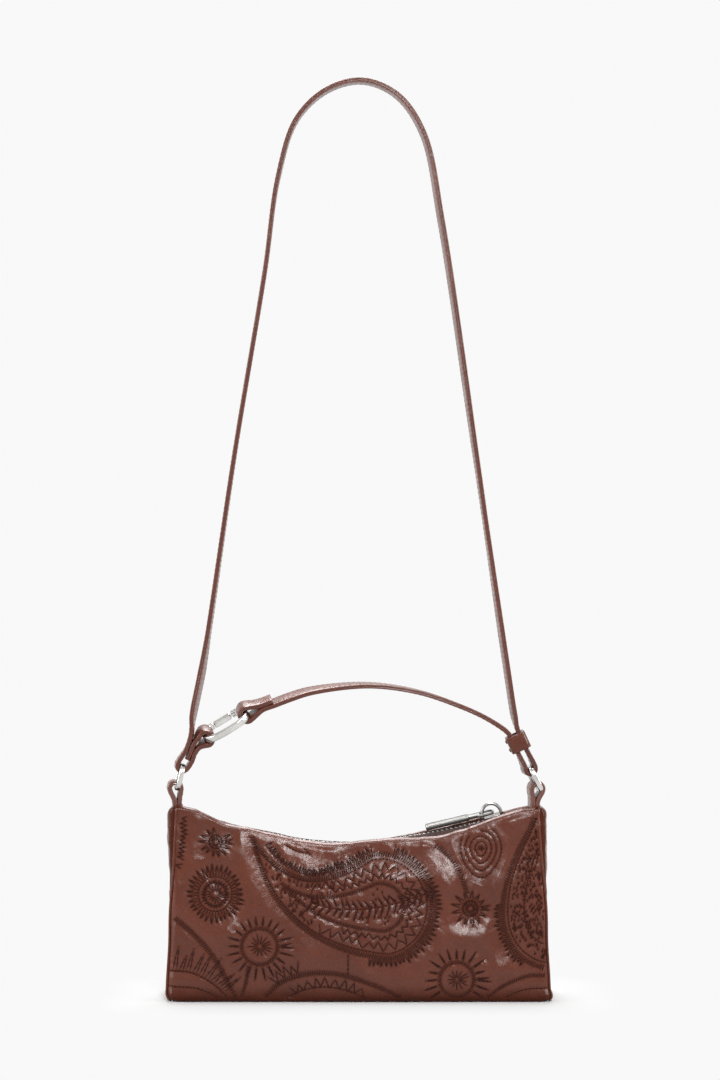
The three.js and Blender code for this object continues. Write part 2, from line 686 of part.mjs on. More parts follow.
// Strips: one turns through the left ring and folds round the clip ring's lower end,
// the other turns through the right ring, passes the keeper and folds round the clip ring's upper end.
const barTurn = Math.hypot(CLIP_BAR, CLIP_HEIGHT) / 2 + CLIP_FOLD_CLEARANCE + STRAP_THICKNESS / 2;
const connectorRoute = [
  between(STRAP_LEFT, LEFT_RUN[0], tipReach + SEAM_GAP),
  ...LEFT_RUN,
  ...roundBar(leftTurn, wireTurn, [165, 215, 270, 325]),
  [leftTurn[0] + wireTurn + STRAP_THICKNESS, leftTurn[1] + STRAP_WIDTH / 2, 0],
  ...roundBar(lowerEnd, barTurn, [175], CLIP_TILT / 2),
  ...roundBar(lowerEnd, barTurn, [130, 90, 50, 10, -30, -65], CLIP_TILT),
  ...roundBar(lowerEnd, barTurn * 1.55, [-115], CLIP_TILT),
];
add("connector_loop", strip(connectorRoute, CONNECTOR_STEPS), leatherMaterial());

const handleRoute = [
  between(STRAP_RIGHT, strapRun, tipReach + SEAM_GAP),
  keeperPoint(KEEPER_RUN_OFFSET, 0),
  keeperPoint(KEEPER_RUN_OFFSET, -keeperReach),
  ...roundBar(rightTurn, wireTurn, [15, -35, -90, -145, 165]),
  keeperPoint(-KEEPER_RUN_OFFSET, -keeperReach),
  keeperPoint(-KEEPER_RUN_OFFSET, 0),
  keeperPoint(-KEEPER_RUN_OFFSET, keeperReach),
  ...HANDLE_START_PLACES.map(fromRight),
  ...HANDLE_SHARES.map(overBag(HANDLE_RISE)),
  ...roundBar(upperEnd, 4 * barTurn, [28]),
  ...roundBar(upperEnd, barTurn, [-75, -115, -155, 165, 125, 90], CLIP_TILT),
  ...roundBar(upperEnd, 2.4 * barTurn, [49], CLIP_TILT / 2),
  ...roundBar(upperEnd, 4.1 * barTurn, [39]),
];
add("handle", strip(handleRoute, HANDLE_STEPS), leatherMaterial());

// Keeper: a sleeve round both runs, with two studs through its outer left wall
const keeper = new THREE.Group();
keeper.position.set(KEEPER_CENTRE[0], 0, KEEPER_CENTRE[1]);
keeper.rotation.y = KEEPER_LEAN * DEGREE;
bag.add(keeper);
const keeperInnerX = KEEPER_RUN_OFFSET + STRAP_THICKNESS / 2 + SEAM_GAP;
const keeperInnerY = STRAP_WIDTH / 2 + SEAM_GAP;
const onFace = (radius, length) =>
  new THREE.CylinderGeometry(radius, radius, length, 12).rotateZ(Math.PI / 2);
const studHeights = { upper: STUD_SPACING / 2, lower: -STUD_SPACING / 2 };

function keeperSleeve() {
  const x = keeperInnerX + KEEPER_WALL;
  const y = keeperInnerY + KEEPER_WALL;
  const sleeve = box(-x, x, -y, y, -keeperReach, keeperReach);
  const inside = box(-keeperInnerX, keeperInnerX, -keeperInnerY, keeperInnerY, -KEEPER_LENGTH, KEEPER_LENGTH);
  const holes = Object.values(studHeights).map((height) => {
    const middle = -keeperInnerX - KEEPER_WALL / 2;
    return onFace(STUD_SHANK / 2 + SEAM_GAP, 2 * KEEPER_WALL).translate(middle, 0, height);
  });
  return cutBy(sleeve, inside, ...holes);
}
add("keeper", keeperSleeve(), leatherMaterial(), keeper);

function stud() {
  const face = -keeperInnerX - KEEPER_WALL - SEAM_GAP;
  const shankLength = KEEPER_WALL + SEAM_GAP;
  const head = onFace(STUD_HEAD / 2, STUD_HEAD_HEIGHT).translate(face - STUD_HEAD_HEIGHT / 2, 0, 0);
  const shank = onFace(STUD_SHANK / 2, shankLength + STUD_HEAD_HEIGHT / 2);
  shank.translate(face + shankLength / 2 - STUD_HEAD_HEIGHT / 4, 0, 0);
  return joined(head, shank);
}
for (const [name, height] of Object.entries(studHeights)) {
  const piece = add("keeper_stud_" + name, stud(), darkLeather(), keeper);
  piece.position.z = height;
}

export default bag;
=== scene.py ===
"""The looks of a small zip-top leather bag with a grab handle and a long strap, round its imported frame."""
import math

import bpy
import bmesh
import numpy as np
from mathutils.kdtree import KDTree
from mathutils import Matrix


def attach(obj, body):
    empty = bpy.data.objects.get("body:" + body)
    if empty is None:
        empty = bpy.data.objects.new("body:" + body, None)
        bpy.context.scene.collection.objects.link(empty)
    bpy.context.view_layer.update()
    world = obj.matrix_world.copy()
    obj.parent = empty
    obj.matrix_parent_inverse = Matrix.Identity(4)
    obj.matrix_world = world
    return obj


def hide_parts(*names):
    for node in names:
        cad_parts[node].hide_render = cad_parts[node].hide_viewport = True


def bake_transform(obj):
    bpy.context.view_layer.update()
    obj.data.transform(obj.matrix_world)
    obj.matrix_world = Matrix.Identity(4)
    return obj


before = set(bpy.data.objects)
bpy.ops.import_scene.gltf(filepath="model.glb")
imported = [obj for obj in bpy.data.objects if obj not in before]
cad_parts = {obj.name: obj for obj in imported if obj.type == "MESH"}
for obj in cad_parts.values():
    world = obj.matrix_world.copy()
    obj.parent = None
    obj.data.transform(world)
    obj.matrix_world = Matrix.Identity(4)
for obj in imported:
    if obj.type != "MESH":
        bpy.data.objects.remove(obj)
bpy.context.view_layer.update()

# Lengths below are millimetres in the frame's axes: x right, y to the back, z up, floor at z = 0.
MM = 0.001

# Bag body
EDGE_LOW = 103
EDGE_RADIUS = 317
EDGE_CENTRE = EDGE_LOW + EDGE_RADIUS
ZIP_DROP = 0.8
ZIP_RADIUS = EDGE_RADIUS + ZIP_DROP
BASE_DEPTH = {-1: 25, 1: 22.5}
TOP_DEPTH = 12
BULGE = 5.5
SIDE_CORNER = 7
BASE_ROLL = 2.4
# Painted shade on the leather, towards the floor and in the dents along each stitch: share of the dark tone,
# reach
BASE_SHADE, BASE_SHADE_HEIGHT = 0.6, 13
STITCH_SHADE, STITCH_SHADE_REACH = 0.6, 0.6
EAR_CORNER = 6
EAR_FLARE = {-1: 0.6, 1: 2.8}
SIDE_REACH = {-1: 123.3, 1: 122.4}
SIDE_SPREAD = 1.5
SPREAD_HEIGHTS = (6, 42)
SHOULDER_SPREAD = {-1: 2.2, 1: 1.1}
SHOULDER_HEIGHTS = (70, 112)
EAR_HEIGHT = 9
LIP_RADIUS = 1.6
LIP_FLAT = 1.6
LIP_TURN = math.radians(62)
LIP_SWAY = math.radians(12)
LIP_RISE = LIP_RADIUS + LIP_FLAT * math.cos(LIP_TURN)
FACING_DROP = 9
FACING_SLANT = 0.12
SEAM_INSET_LOW = 1
SEAM_INSET_TOP = 7
SEAM_HEIGHTS = (50, 122)
SEAM_CLEAR = 1.2
EDGE_CLEAR = 2.5
PANEL_STEP = 0.6
PANEL_WIDTH = 244
PANEL_HEIGHT = 112
SEAM_REACH = 121
BULGE_REACH = 124
RELIEF_STEP = 0.5
RELIEF_REACH = 128
RELIEF_HEIGHTS = (-2, 132)
# The leather puffs up away from stitches and dips under them: height, reach
PUFF_RISE, PUFF_REACH = 0.95, 6
DENT_DEPTH, DENT_REACH = 0.2, 1.1
PUCKER_REACH = 4
# How far the top edge of the front (-1) and back (1) strays from its arc as the leather sags: place, rise
EDGE_TRIM = {
    -1: (
        (-123, -4), (-117, -0.5), (-112, 2), (-100, 0.6), (-87, -2), (-72, 0), (-40, -2), (-20, -3),
        (0, -0.8), (10, 0.1), (22, 0.8), (36, -0.9), (50, -2), (62, -1), (74, 0.2), (84, 1.5),
        (92, 2.3), (100, 2.6), (111, 0.2), (123, -2),
    ),
    1: (
        (-123, -1.5), (-107, -3.1), (-75, -3.4), (-28, -6), (-5, -5.8), (19, -2), (42, 0.4), (70, 1.9),
        (85, 2.4), (100, 1.3), (115, -0.6), (123, -2),
    ),
}
TRIM_SPAN = 140
TRIM_BLUR = 4
# Soft pillows in the leather of the front (-1) and back (1): place in x and z, reach in x and z, rise
PILLOWS = {
    -1: (
        (59, 76, 12, 11, 2.4), (72, 42, 13, 8, 2.2), (94, 22, 13, 10, 2.8), (-84, 44, 10, 8, 2.3),
        (-30, 82, 14, 7, 1.7), (26, 78, 24, 9, 3.0), (90, 74, 9, 10, 2.0), (-84, 98, 14, 9, 1.8),
    ),
    1: ((0, 34, 14, 8, 1.1), (-84, 64, 8, 12, 1.0), (88, 60, 8, 12, 1.0)),
}

# Thread
THREAD = 0.32
BAND_WIDTH = 3.0
BAND_PITCH = 1.5
RUN_GAP = 0.7


def smooth_step(low, high, value):
    """Zero below low, one above high and a smooth rise between them."""
    share = np.clip((np.asarray(value, float) - low) / (high - low), 0, 1)
    return share * share * (3 - 2 * share)


def smooth_noise(x, y, size, seed):
    """Value noise from -1 to 1 in cells of the given size."""
    cells = 64
    table = np.random.default_rng(seed).uniform(-1, 1, (cells, cells))
    across, up = np.asarray(x, float) / size, np.asarray(y, float) / size
    i, j = np.floor(across).astype(int), np.floor(up).astype(int)
    fx, fy = across - i, up - j
    fx, fy = fx * fx * (3 - 2 * fx), fy * fy * (3 - 2 * fy)
    low = table[j % cells, i % cells] * (1 - fx) + table[j % cells, (i + 1) % cells] * fx
    high = table[(j + 1) % cells, i % cells] * (1 - fx) + table[(j + 1) % cells, (i + 1) % cells] * fx
    return low * (1 - fy) + high * fy


def unit(vectors):
    """The vectors at length one."""
    vectors = np.asarray(vectors, float)
    return vectors / np.maximum(np.linalg.norm(vectors, axis=-1, keepdims=True), 1e-12)


def through(knots, step):
    """A smooth line through the knots, with points about one step apart."""
    knots = np.asarray(knots, float)
    before = np.vstack([2 * knots[0] - knots[1], knots, 2 * knots[-1] - knots[-2]])
    fine = []
    for p, q, r, s in zip(before, before[1:], before[2:], before[3:]):
        t = np.linspace(0, 1, 40, endpoint=False)[:, None]
        t1 = math.sqrt(np.linalg.norm(q - p))
        t2 = math.sqrt(np.linalg.norm(r - q))
        t3 = math.sqrt(np.linalg.norm(s - r))
        m1 = (r - q) + t2 * ((q - p) / t1 - (r - p) / (t1 + t2))
        m2 = (r - q) + t2 * ((s - r) / t3 - (s - q) / (t2 + t3))
        a, b = 2 * (q - r) + m1 + m2, 3 * (r - q) - 2 * m1 - m2
        fine.append(((a * t + b) * t + m1) * t + q)
    fine.append(knots[-1:])
    return even(np.vstack(fine), step)


def points_at(x, y, z):
    """Points from their places along the three axes; a single number holds for all of them."""
    return np.stack(np.broadcast_arrays(x, y, z), axis=-1)


def between(places, lengths, points):
    """Points at these lengths along a line."""
    axes = range(points.shape[1])
    return np.stack([np.interp(places, lengths, points[:, axis]) for axis in axes], axis=-1)


def run_lengths(points):
    """Length of the line from its start to each of its points."""
    return np.concatenate([[0], np.cumsum(np.linalg.norm(np.diff(points, axis=0), axis=1))])


def even(points, step):
    """The line through these points again, with points about one step apart."""
    points = np.asarray(points, float)
    lengths = run_lengths(points)
    count = max(2, int(round(lengths[-1] / step)) + 1)
    return between(np.linspace(0, lengths[-1], count), lengths, points)


def ahead_round(outline):
    """The way ahead at each point of a closed line."""
    return unit(np.roll(outline, -1, axis=0) - np.roll(outline, 1, axis=0))


def left_of(ahead):
    """The way to the left of these flat directions."""
    return np.stack([-ahead[:, 1], ahead[:, 0]], axis=1)


def leaning(angle):
    """The way up and the way to the right of a thing that leans to the right by an angle."""
    up = np.array([math.sin(angle), 0, math.cos(angle)])
    return up, np.array([up[2], 0, -up[0]])


def grid_faces(rows, columns, closed_rows=False, closed_columns=False):
    """Quads of a grid of points; a closed one runs round on itself."""
    across = np.arange(columns if closed_columns else columns - 1)
    up = np.arange(rows if closed_rows else rows - 1)[:, None]
    beside, above = (across + 1) % columns, (up + 1) % rows
    quads = [up * columns + across, up * columns + beside, above * columns + beside, above * columns + across]
    return np.stack(quads, axis=-1).reshape(-1, 4).tolist()


def bar_faces(rings, sides, closed=False):
    """Faces of a bar made of rings of points; unless it runs round on itself, its ends are shut."""
    faces = grid_faces(rings, sides, closed_rows=closed, closed_columns=True)
    if not closed:
        last = (rings - 1) * sides
        faces += [list(range(sides))[::-1], list(range(last, last + sides))]
    return faces


def add_mesh(name, points, faces, material, turn_out=True):
    """A smooth mesh piece; unless its faces already face out, they are turned outwards."""
    mesh = bpy.data.meshes.new(name)
    mesh.from_pydata((np.asarray(points, float).reshape(-1, 3) * MM).tolist(), [], faces)
    if turn_out:
        work = bmesh.new()
        work.from_mesh(mesh)
        bmesh.ops.recalc_face_normals(work, faces=work.faces)
        work.to_mesh(mesh)
        work.free()
    mesh.shade_smooth()
    mesh.materials.append(material)
    piece = bpy.data.objects.new(name, mesh)
    bpy.context.collection.objects.link(piece)
    return piece


def joined(parts):
    """Points and faces of several meshes as one."""
    points, faces, start = [], [], 0
    for part_points, part_faces in parts:
        part_points = np.asarray(part_points, float).reshape(-1, 3)
        points.append(part_points)
        faces.extend([[start + i for i in face] for face in part_faces])
        start += len(part_points)
    return np.vstack(points), faces


def settle(piece, body, slot, *nodes):
    """The piece rides on a body and stands for these CAD nodes; the slot is not used."""
    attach(piece, body)
    if nodes:
        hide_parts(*nodes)


def keep_normals(piece, normals):
    """Gives each point a fixed normal, so that a cut line between two halves doesn't show."""
    piece.data.normals_split_custom_set_from_vertices(normals.reshape(-1, 3).tolist())


def mark(piece, name, values):
    """Stores one number per point for the materials."""
    attribute = piece.data.attributes.new(name, "FLOAT", "POINT")
    attribute.data.foreach_set("value", np.asarray(values, np.float32).ravel())


# Girth and height of a stitch along its length: it dips into the leather at both ends
STITCH_SWELL = (0.35, 0.9, 1, 0.9, 0.35)
STITCH_LIFT = (-0.7, 0.3, 0.55, 0.3, -0.7)


def threads(middles, out, radius, swell=STITCH_SWELL, lift=STITCH_LIFT, sides=6):
    """Short round lengths along rows of points, with a girth and a lift at each point of a row."""
    rows = len(swell)
    swell, lift = np.array(swell)[None, :, None], np.array(lift)[None, :, None]
    turns = np.arange(sides) * 2 * math.pi / sides
    centres = middles + out * lift * radius
    ahead = unit(np.gradient(centres, axis=1))
    side = unit(np.cross(ahead, out))
    up = np.cross(side, ahead)
    spokes = side[:, :, None] * np.cos(turns)[:, None] + up[:, :, None] * np.sin(turns)[:, None]
    points = centres[:, :, None] + radius * swell[..., None] * spokes
    starts = rows * sides * np.arange(len(middles))[:, None, None]
    walls = starts + np.array(grid_faces(rows, sides, closed_columns=True))
    ends = np.stack([np.arange(sides)[::-1], (rows - 1) * sides + np.arange(sides)])
    return points.reshape(-1, 3), walls.reshape(-1, 4).tolist() + (starts + ends).reshape(-1, sides).tolist()


def sweep(path, across, out, section, closed=False):
    """A bar with a given section, whose two directions are given at each point of the path."""
    section = np.asarray(section, float)
    points = path[:, None] + across[:, None] * section[:, :1] + out[:, None] * section[:, 1:]
    return points.reshape(-1, 3), bar_faces(len(path), len(section), closed)


def tube(path, radius, closed=False, sides=12, flatten=1.0, up=(0, 1, 0)):
    """A round bar along a path; flatten scales it along the up direction."""
    ahead = ahead_round(path) if closed else unit(np.gradient(path, axis=0))
    side = unit(np.cross(ahead, np.broadcast_to(up, path.shape)))
    turns = np.arange(sides) * 2 * math.pi / sides
    section = radius * np.stack([np.cos(turns), flatten * np.sin(turns)], axis=1)
    return sweep(path, side, np.cross(side, ahead), section, closed)


def facing(rows):
    """The way that a grid of points faces, at each point."""
    return unit(np.cross(np.gradient(rows, axis=1), np.gradient(rows, axis=0)))


def slab(rows, thickness):
    """A closed sheet: a grid of points, and the same grid one thickness behind it."""
    count, columns = rows.shape[:2]
    front = np.array(grid_faces(count, columns))
    back = front[:, ::-1] + count * columns
    index = np.arange(count * columns).reshape(count, columns)
    rim = np.concatenate([index[0], index[1:, -1], index[-1, -2::-1], index[-2:0:-1, 0]])
    after = np.roll(rim, -1)
    walls = np.stack([after, rim, rim + count * columns, after + count * columns], axis=1)
    points = np.concatenate([rows.reshape(-1, 3), (rows - facing(rows) * thickness).reshape(-1, 3)])
    return points, np.concatenate([front, back, walls]).tolist()


def rounded_rectangle(length, width, corner, per_corner):
    """A closed outline about the origin."""
    points = []
    for quarter, (x, y) in enumerate(((1, 1), (-1, 1), (-1, -1), (1, -1))):
        for angle in (quarter + np.linspace(0, 1, per_corner)) * math.pi / 2:
            middle = (x * (length / 2 - corner), y * (width / 2 - corner))
            points.append((middle[0] + corner * math.cos(angle), middle[1] + corner * math.sin(angle)))
    return np.array(points)


def plate(outline, thickness, bevel, origin, axes):
    """A flat piece with rounded edges: an outline along two axes, thick along the third."""
    outline = np.asarray(outline, float)
    axes = np.asarray(axes, float)
    inward = left_of(ahead_round(outline))
    rings = []
    for side, turns in ((-1, (0, 30, 60, 90)), (1, (90, 120, 150, 180))):
        for angle in np.radians(turns):
            flat = outline + inward * bevel * (1 - math.sin(angle))
            height = side * (thickness / 2 - bevel) - bevel * math.cos(angle)
            rings.append(np.column_stack([flat, np.full(len(flat), height)]))
    points = np.asarray(origin, float) + np.concatenate(rings) @ axes
    return points, bar_faces(len(rings), len(outline))


def block(size, corner, bevel, origin, axes, per_corner=4):
    """A bar with rounded corners and edges; its size is given along its three axes."""
    length, width, thickness = size
    return plate(rounded_rectangle(length, width, corner, per_corner), thickness, bevel, origin, axes)


# Materials


def add_node(tree, kind, inputs=(), **settings):
    """A new shader node; each input, by name or number, takes a value or the socket that it is linked to."""
    node = tree.nodes.new("ShaderNode" + kind)
    for name, value in settings.items():
        setattr(node, name, value)
    for name, value in dict(inputs).items():
        if isinstance(value, bpy.types.NodeSocket):
            tree.links.new(value, node.inputs[name])
        else:
            node.inputs[name].default_value = value
    return node


class Shader:
    """A node material with a Principled shader, and short ways to add nodes to it."""

    def __init__(self, name, roughness, metallic=0.0):
        self.material = bpy.data.materials.new(name)
        self.material.use_nodes = True
        self.tree = self.material.node_tree
        self.surface = self.tree.nodes["Principled BSDF"]
        self.surface.inputs["Roughness"].default_value = roughness
        self.surface.inputs["Metallic"].default_value = metallic
        self.place = add_node(self.tree, "TexCoord").outputs["Object"]

    def feed(self, name, socket):
        """Links a socket to one of the Principled shader's inputs."""
        self.tree.links.new(socket, self.surface.inputs[name])

    def noise(self, scale, detail, stretch=None):
        """Noise in features per metre; stretch scales it along each axis."""
        place = self.place
        if stretch:
            place = add_node(self.tree, "Mapping", {"Scale": stretch, "Vector": place}).outputs["Vector"]
        inputs = {"Scale": scale, "Detail": detail, "Roughness": 0.55, "Vector": place}
        return add_node(self.tree, "TexNoise", inputs).outputs["Fac"]

    def cells(self, scale):
        """Distance to the edges of small cells."""
        inputs = {"Scale": scale, "Vector": self.place}
        return add_node(self.tree, "TexVoronoi", inputs, feature="DISTANCE_TO_EDGE").outputs["Distance"]

    def waves(self, scale, direction):
        """Slightly uneven bands across one axis."""
        inputs = {"Scale": scale, "Distortion": 0.6, "Vector": self.place}
        return add_node(self.tree, "TexWave", inputs, bands_direction=direction).outputs["Fac"]

    def attribute(self, name):
        """A number that was stored at each point of a mesh."""
        return add_node(self.tree, "Attribute", attribute_name=name).outputs["Fac"]

    def ramp(self, value, stops):
        """Colours or grey levels along a value; each stop is a place and a colour."""
        node = add_node(self.tree, "ValToRGB", {"Fac": value})
        while len(node.color_ramp.elements) < len(stops):
            node.color_ramp.elements.new(0.5)
        for element, (place, colour) in zip(node.color_ramp.elements, stops):
            element.position = place
            element.color = (*colour, 1) if hasattr(colour, "__len__") else (colour, colour, colour, 1)
        return node.outputs["Color"]

    def mix(self, share, first, second, kind="MIX"):
        """Two colours in one; inputs 6 and 7 and output 2 are the node's colour sockets."""
        inputs = {"Factor": share, 6: first, 7: second}
        return add_node(self.tree, "Mix", inputs, data_type="RGBA", blend_type=kind).outputs[2]

    def bump(self, height, strength, distance):
        """Fine surface relief; several bumps run one after another."""
        inputs = {"Strength": strength, "Distance": distance * MM, "Height": height}
        before = self.surface.inputs["Normal"].links
        if before:
            inputs["Normal"] = before[0].from_socket
        self.feed("Normal", add_node(self.tree, "Bump", inputs).outputs["Normal"])


def leather(name, light, mid, dark, shine, gloss):
    """Glazed leather: softly mottled brown with fine grain and pores, mixed towards its dark tone by a stored
    number: painted shade on the bag, painted edges on the straps.
    """
    shader = Shader(name, shine)
    clouds = shader.ramp(shader.noise(30, 5), [(0.32, mid), (0.68, light)])
    flecks = shader.ramp(shader.noise(900, 2), [(0.3, 0.8), (0.6, 1.0)])
    tone = shader.mix(0.6, clouds, flecks, "MULTIPLY")
    # Painted shade, and the straps' edge paint, mix the tone towards the dark one.
    painted_shade_and_edge_paint = shader.attribute("painted_shade_and_edge_paint")
    shader.feed("Base Color", shader.mix(painted_shade_and_edge_paint, tone, (*dark, 1)))
    shader.feed("Roughness", shader.ramp(shader.noise(90, 4), [(0.3, shine - 0.07), (0.7, shine + 0.1)]))
    shader.feed("Specular IOR Level", shader.ramp(painted_shade_and_edge_paint, [(0, gloss), (0.6, 0.08)]))
    shader.bump(shader.cells(1150), 0.36, 0.2)
    shader.bump(shader.noise(380, 4), 0.42, 0.34)
    return shader.material


def thread_material(name, light, dark):
    """Twisted thread: fine slanting strands."""
    shader = Shader(name, 0.6)
    shader.surface.inputs["Specular IOR Level"].default_value = 0.12
    strands = shader.noise(2600, 2, stretch=(1, 1, 0.45))
    shader.feed("Base Color", shader.ramp(strands, [(0.3, dark), (0.7, light)]))
    shader.bump(strands, 0.5, 0.1)
    return shader.material


def woven(name, light, dark, count):
    """Cloth: crossing waves of warp and weft."""
    shader = Shader(name, 0.85)
    weave = shader.mix(0.5, shader.waves(count, "X"), shader.waves(count, "Z"), "ADD")
    uneven = shader.mix(0.5, weave, shader.noise(160, 3), "MULTIPLY")
    shader.feed("Base Color", shader.ramp(uneven, [(0.15, dark), (0.6, light)]))
    shader.bump(weave, 0.5, 0.2)
    return shader.material


def metal(name, light, dark, polish):
    """Plated metal with fine scratches and slightly uneven polish."""
    shader = Shader(name, polish, metallic=1.0)
    shader.feed("Base Color", shader.ramp(shader.noise(60, 3), [(0.35, dark), (0.65, light)]))
    brushed = shader.noise(300, 4, stretch=(0.3, 1, 1))
    shader.feed("Roughness", shader.ramp(brushed, [(0.3, polish - 0.06), (0.7, polish + 0.1)]))
    shader.bump(shader.noise(1500, 2, stretch=(0.15, 1, 1)), 0.06, 0.05)
    return shader.material


def fibre_board(name, light, dark):
    """Pressed fibre board: short pale fibres."""
    shader = Shader(name, 0.95)
    fibres = shader.noise(700, 4, stretch=(0.25, 1, 1))
    shader.feed("Base Color", shader.ramp(fibres, [(0.3, dark), (0.7, light)]))
    shader.bump(fibres, 0.3, 0.2)
    return shader.material


BROWN_LEATHER = leather(
    "brown_leather", (0.114, 0.0240, 0.0095), (0.081, 0.0164, 0.0060), (0.024, 0.0045, 0.0020), 0.25, 0.42
)
STRAP_LEATHER = leather(
    "strap_leather", (0.152, 0.045, 0.028), (0.116, 0.034, 0.021), (0.040, 0.011, 0.007), 0.23, 0.8
)
DULL_LEATHER = leather(
    "dull_leather", (0.105, 0.030, 0.020), (0.078, 0.021, 0.014), (0.034, 0.009, 0.006), 0.5, 0.2
)
BROWN_THREAD = thread_material("brown_thread", (0.044, 0.0105, 0.0065), (0.019, 0.0042, 0.0027))
SEAM_THREAD = thread_material("seam_thread", (0.120, 0.040, 0.028), (0.060, 0.019, 0.013))
LINING_CLOTH = woven("lining_cloth", (0.085, 0.045, 0.034), (0.040, 0.021, 0.016), 1100)
# Zip tape: dark brown cloth, made near black as painted shade for the recess under the puller.
ZIP_CLOTH = woven("zip_cloth", (0.048, 0.017, 0.012), (0.016, 0.006, 0.004), 1500)
SILVER = metal("silver", (0.76, 0.75, 0.725), (0.56, 0.55, 0.53), 0.22)
ZIP_SILVER = metal("zip_silver", (0.44, 0.43, 0.41), (0.28, 0.27, 0.26), 0.28)
PULLER_SILVER = metal("puller_silver", (0.19, 0.186, 0.178), (0.11, 0.107, 0.102), 0.4)
BOARD = fibre_board("fibre_board", (0.30, 0.22, 0.15), (0.17, 0.12, 0.08))


# Camera, floor and light

CAMERA_PLACE = (0.7, -1520, 297.9)
CAMERA_LENS = 77.35
SENSOR = 36
FLOOR_REACH = 3000
WHITE = 0.945
FILL = 0.22
GLOSSY_SHARE = 0.62
BACKDROP_TURN = 900
BACKDROP_RISE = 2600
FLOOR_TONE = 0.625
# In metres: half sizes of the bag's footprint, and the floor's share of plain white by the distance from it
FOOTPRINT = (0.124, 0.025, 10)
FLOOR_FADE = [(0.001, 0.0), (0.012, 0.63), (0.045, 1.0)]
LIGHT_TARGET = (0, 0, 160)
# Soft lights: place, side length, watts
LIGHTS = {
    "key_light": ((200, -1190, 1010), 380, 13.8),
    "top_light": ((-60, 600, 1350), 800, 24),
    "left_light": ((-1350, -250, 600), 700, 13.5),
    "right_light": ((1350, -300, 700), 600, 11.5),
}


def add_camera():
    """A level camera in front of the bag, with plain colour output."""
    bpy.context.scene.view_settings.view_transform = "Standard"
    camera = bpy.data.cameras.new("camera")
    camera.sensor_fit = "VERTICAL"
    camera.sensor_height = SENSOR
    camera.lens = CAMERA_LENS
    piece = bpy.data.objects.new("camera", camera)
    piece.location = [v * MM for v in CAMERA_PLACE]
    piece.rotation_euler = (math.pi / 2, 0, 0)
    bpy.context.collection.objects.link(piece)
    bpy.context.scene.camera = piece


def floor_material():
    """Pale floor: it takes the bag's shadow close by, and is plain white to the camera further away."""
    shader = Shader("floor", 0.9)
    shader.surface.inputs["Base Color"].default_value = (FLOOR_TONE, FLOOR_TONE, FLOOR_TONE, 1)
    shader.surface.inputs["Specular IOR Level"].default_value = 0.1
    tree = shader.tree
    glow = add_node(tree, "Emission", {"Color": (1, 1, 1, 1), "Strength": WHITE})
    away = shader.place
    steps = (("ABSOLUTE", ()), ("SUBTRACT", FOOTPRINT), ("MAXIMUM", (0, 0, 0)), ("LENGTH", ()))
    for operation, value in steps:
        inputs = {0: away, 1: value} if value else {0: away}
        step = add_node(tree, "VectorMath", inputs, operation=operation)
        away = step.outputs["Value" if operation == "LENGTH" else "Vector"]
    rays = add_node(tree, "LightPath").outputs
    seen = shader.mix(1.0, rays["Is Camera Ray"], rays["Is Glossy Ray"], "ADD")
    share = shader.mix(1.0, shader.ramp(away, FLOOR_FADE), seen, "MULTIPLY")
    blend = add_node(tree, "MixShader", {0: share, 1: shader.surface.outputs[0], 2: glow.outputs[0]})
    tree.links.new(blend.outputs[0], tree.nodes["Material Output"].inputs["Surface"])
    return shader.material


def add_stage():
    """A floor that curves up into a backdrop far behind the bag."""
    turn = BACKDROP_TURN
    profile = [(-FLOOR_REACH, 0), (FLOOR_REACH - turn, 0)]
    for angle in np.linspace(0, math.pi / 2, 13)[1:]:
        profile.append((FLOOR_REACH - turn + turn * math.sin(angle), turn - turn * math.cos(angle)))
    profile.append((FLOOR_REACH, BACKDROP_RISE))
    rows = [[(x, y, z) for x in np.linspace(-FLOOR_REACH, FLOOR_REACH, 9)] for y, z in profile]
    floor = add_mesh("floor", rows, grid_faces(len(profile), 9), floor_material())


def add_light(name, place, size, power):
    """A soft square light that faces the bag."""
    lamp = bpy.data.lights.new(name, "AREA")
    lamp.size = size * MM
    lamp.energy = power
    piece = bpy.data.objects.new(name, lamp)
    place, target = np.array(place) * MM, np.array(LIGHT_TARGET) * MM
    piece.location = place
    away = unit(place - target)
    piece.rotation_euler = (math.acos(away[2]), 0, math.atan2(away[1], away[0]) + math.pi / 2)
    bpy.context.collection.objects.link(piece)


def studio_world():
    """A dim even light all round; the camera sees it as white, and reflections see it a little darker."""
    world = bpy.data.worlds.new("studio")
    world.use_nodes = True
    tree = world.node_tree
    dim = tree.nodes["Background"]
    dim.inputs["Color"].default_value = (1, 1, 1, 1)
    dim.inputs["Strength"].default_value = FILL
    seen = add_node(tree, "Background", {"Color": (1, 1, 1, 1), "Strength": WHITE})
    rays = add_node(tree, "LightPath").outputs
    room = add_node(tree, "Math", {0: rays["Is Glossy Ray"], 1: GLOSSY_SHARE}, operation="MULTIPLY")
    either = add_node(tree, "Math", {0: rays["Is Camera Ray"], 1: room.outputs[0]}, operation="MAXIMUM")
    blend = add_node(tree, "MixShader", {0: either.outputs[0], 1: dim.outputs[0], 2: seen.outputs[0]})
    tree.links.new(blend.outputs[0], tree.nodes["World Output"].inputs["Surface"])
    return world


def add_lights():
    """The room's even light and the four soft lights."""
    bpy.context.scene.world = studio_world()
    for name, (place, size, power) in LIGHTS.items():
        add_light(name, place, size, power)


# Embroidery: stitches as lines on a panel, in its x and z


def along(line, pitch):
    """Points one pitch apart on a line, with the way ahead and the way to the left at each."""
    points = even(line, pitch)
    ahead = unit(np.gradient(points, axis=0))
    return points, ahead, left_of(ahead)


def drawn(*knots):
    """A smooth line through these places, finely divided."""
    return through(knots, 1)


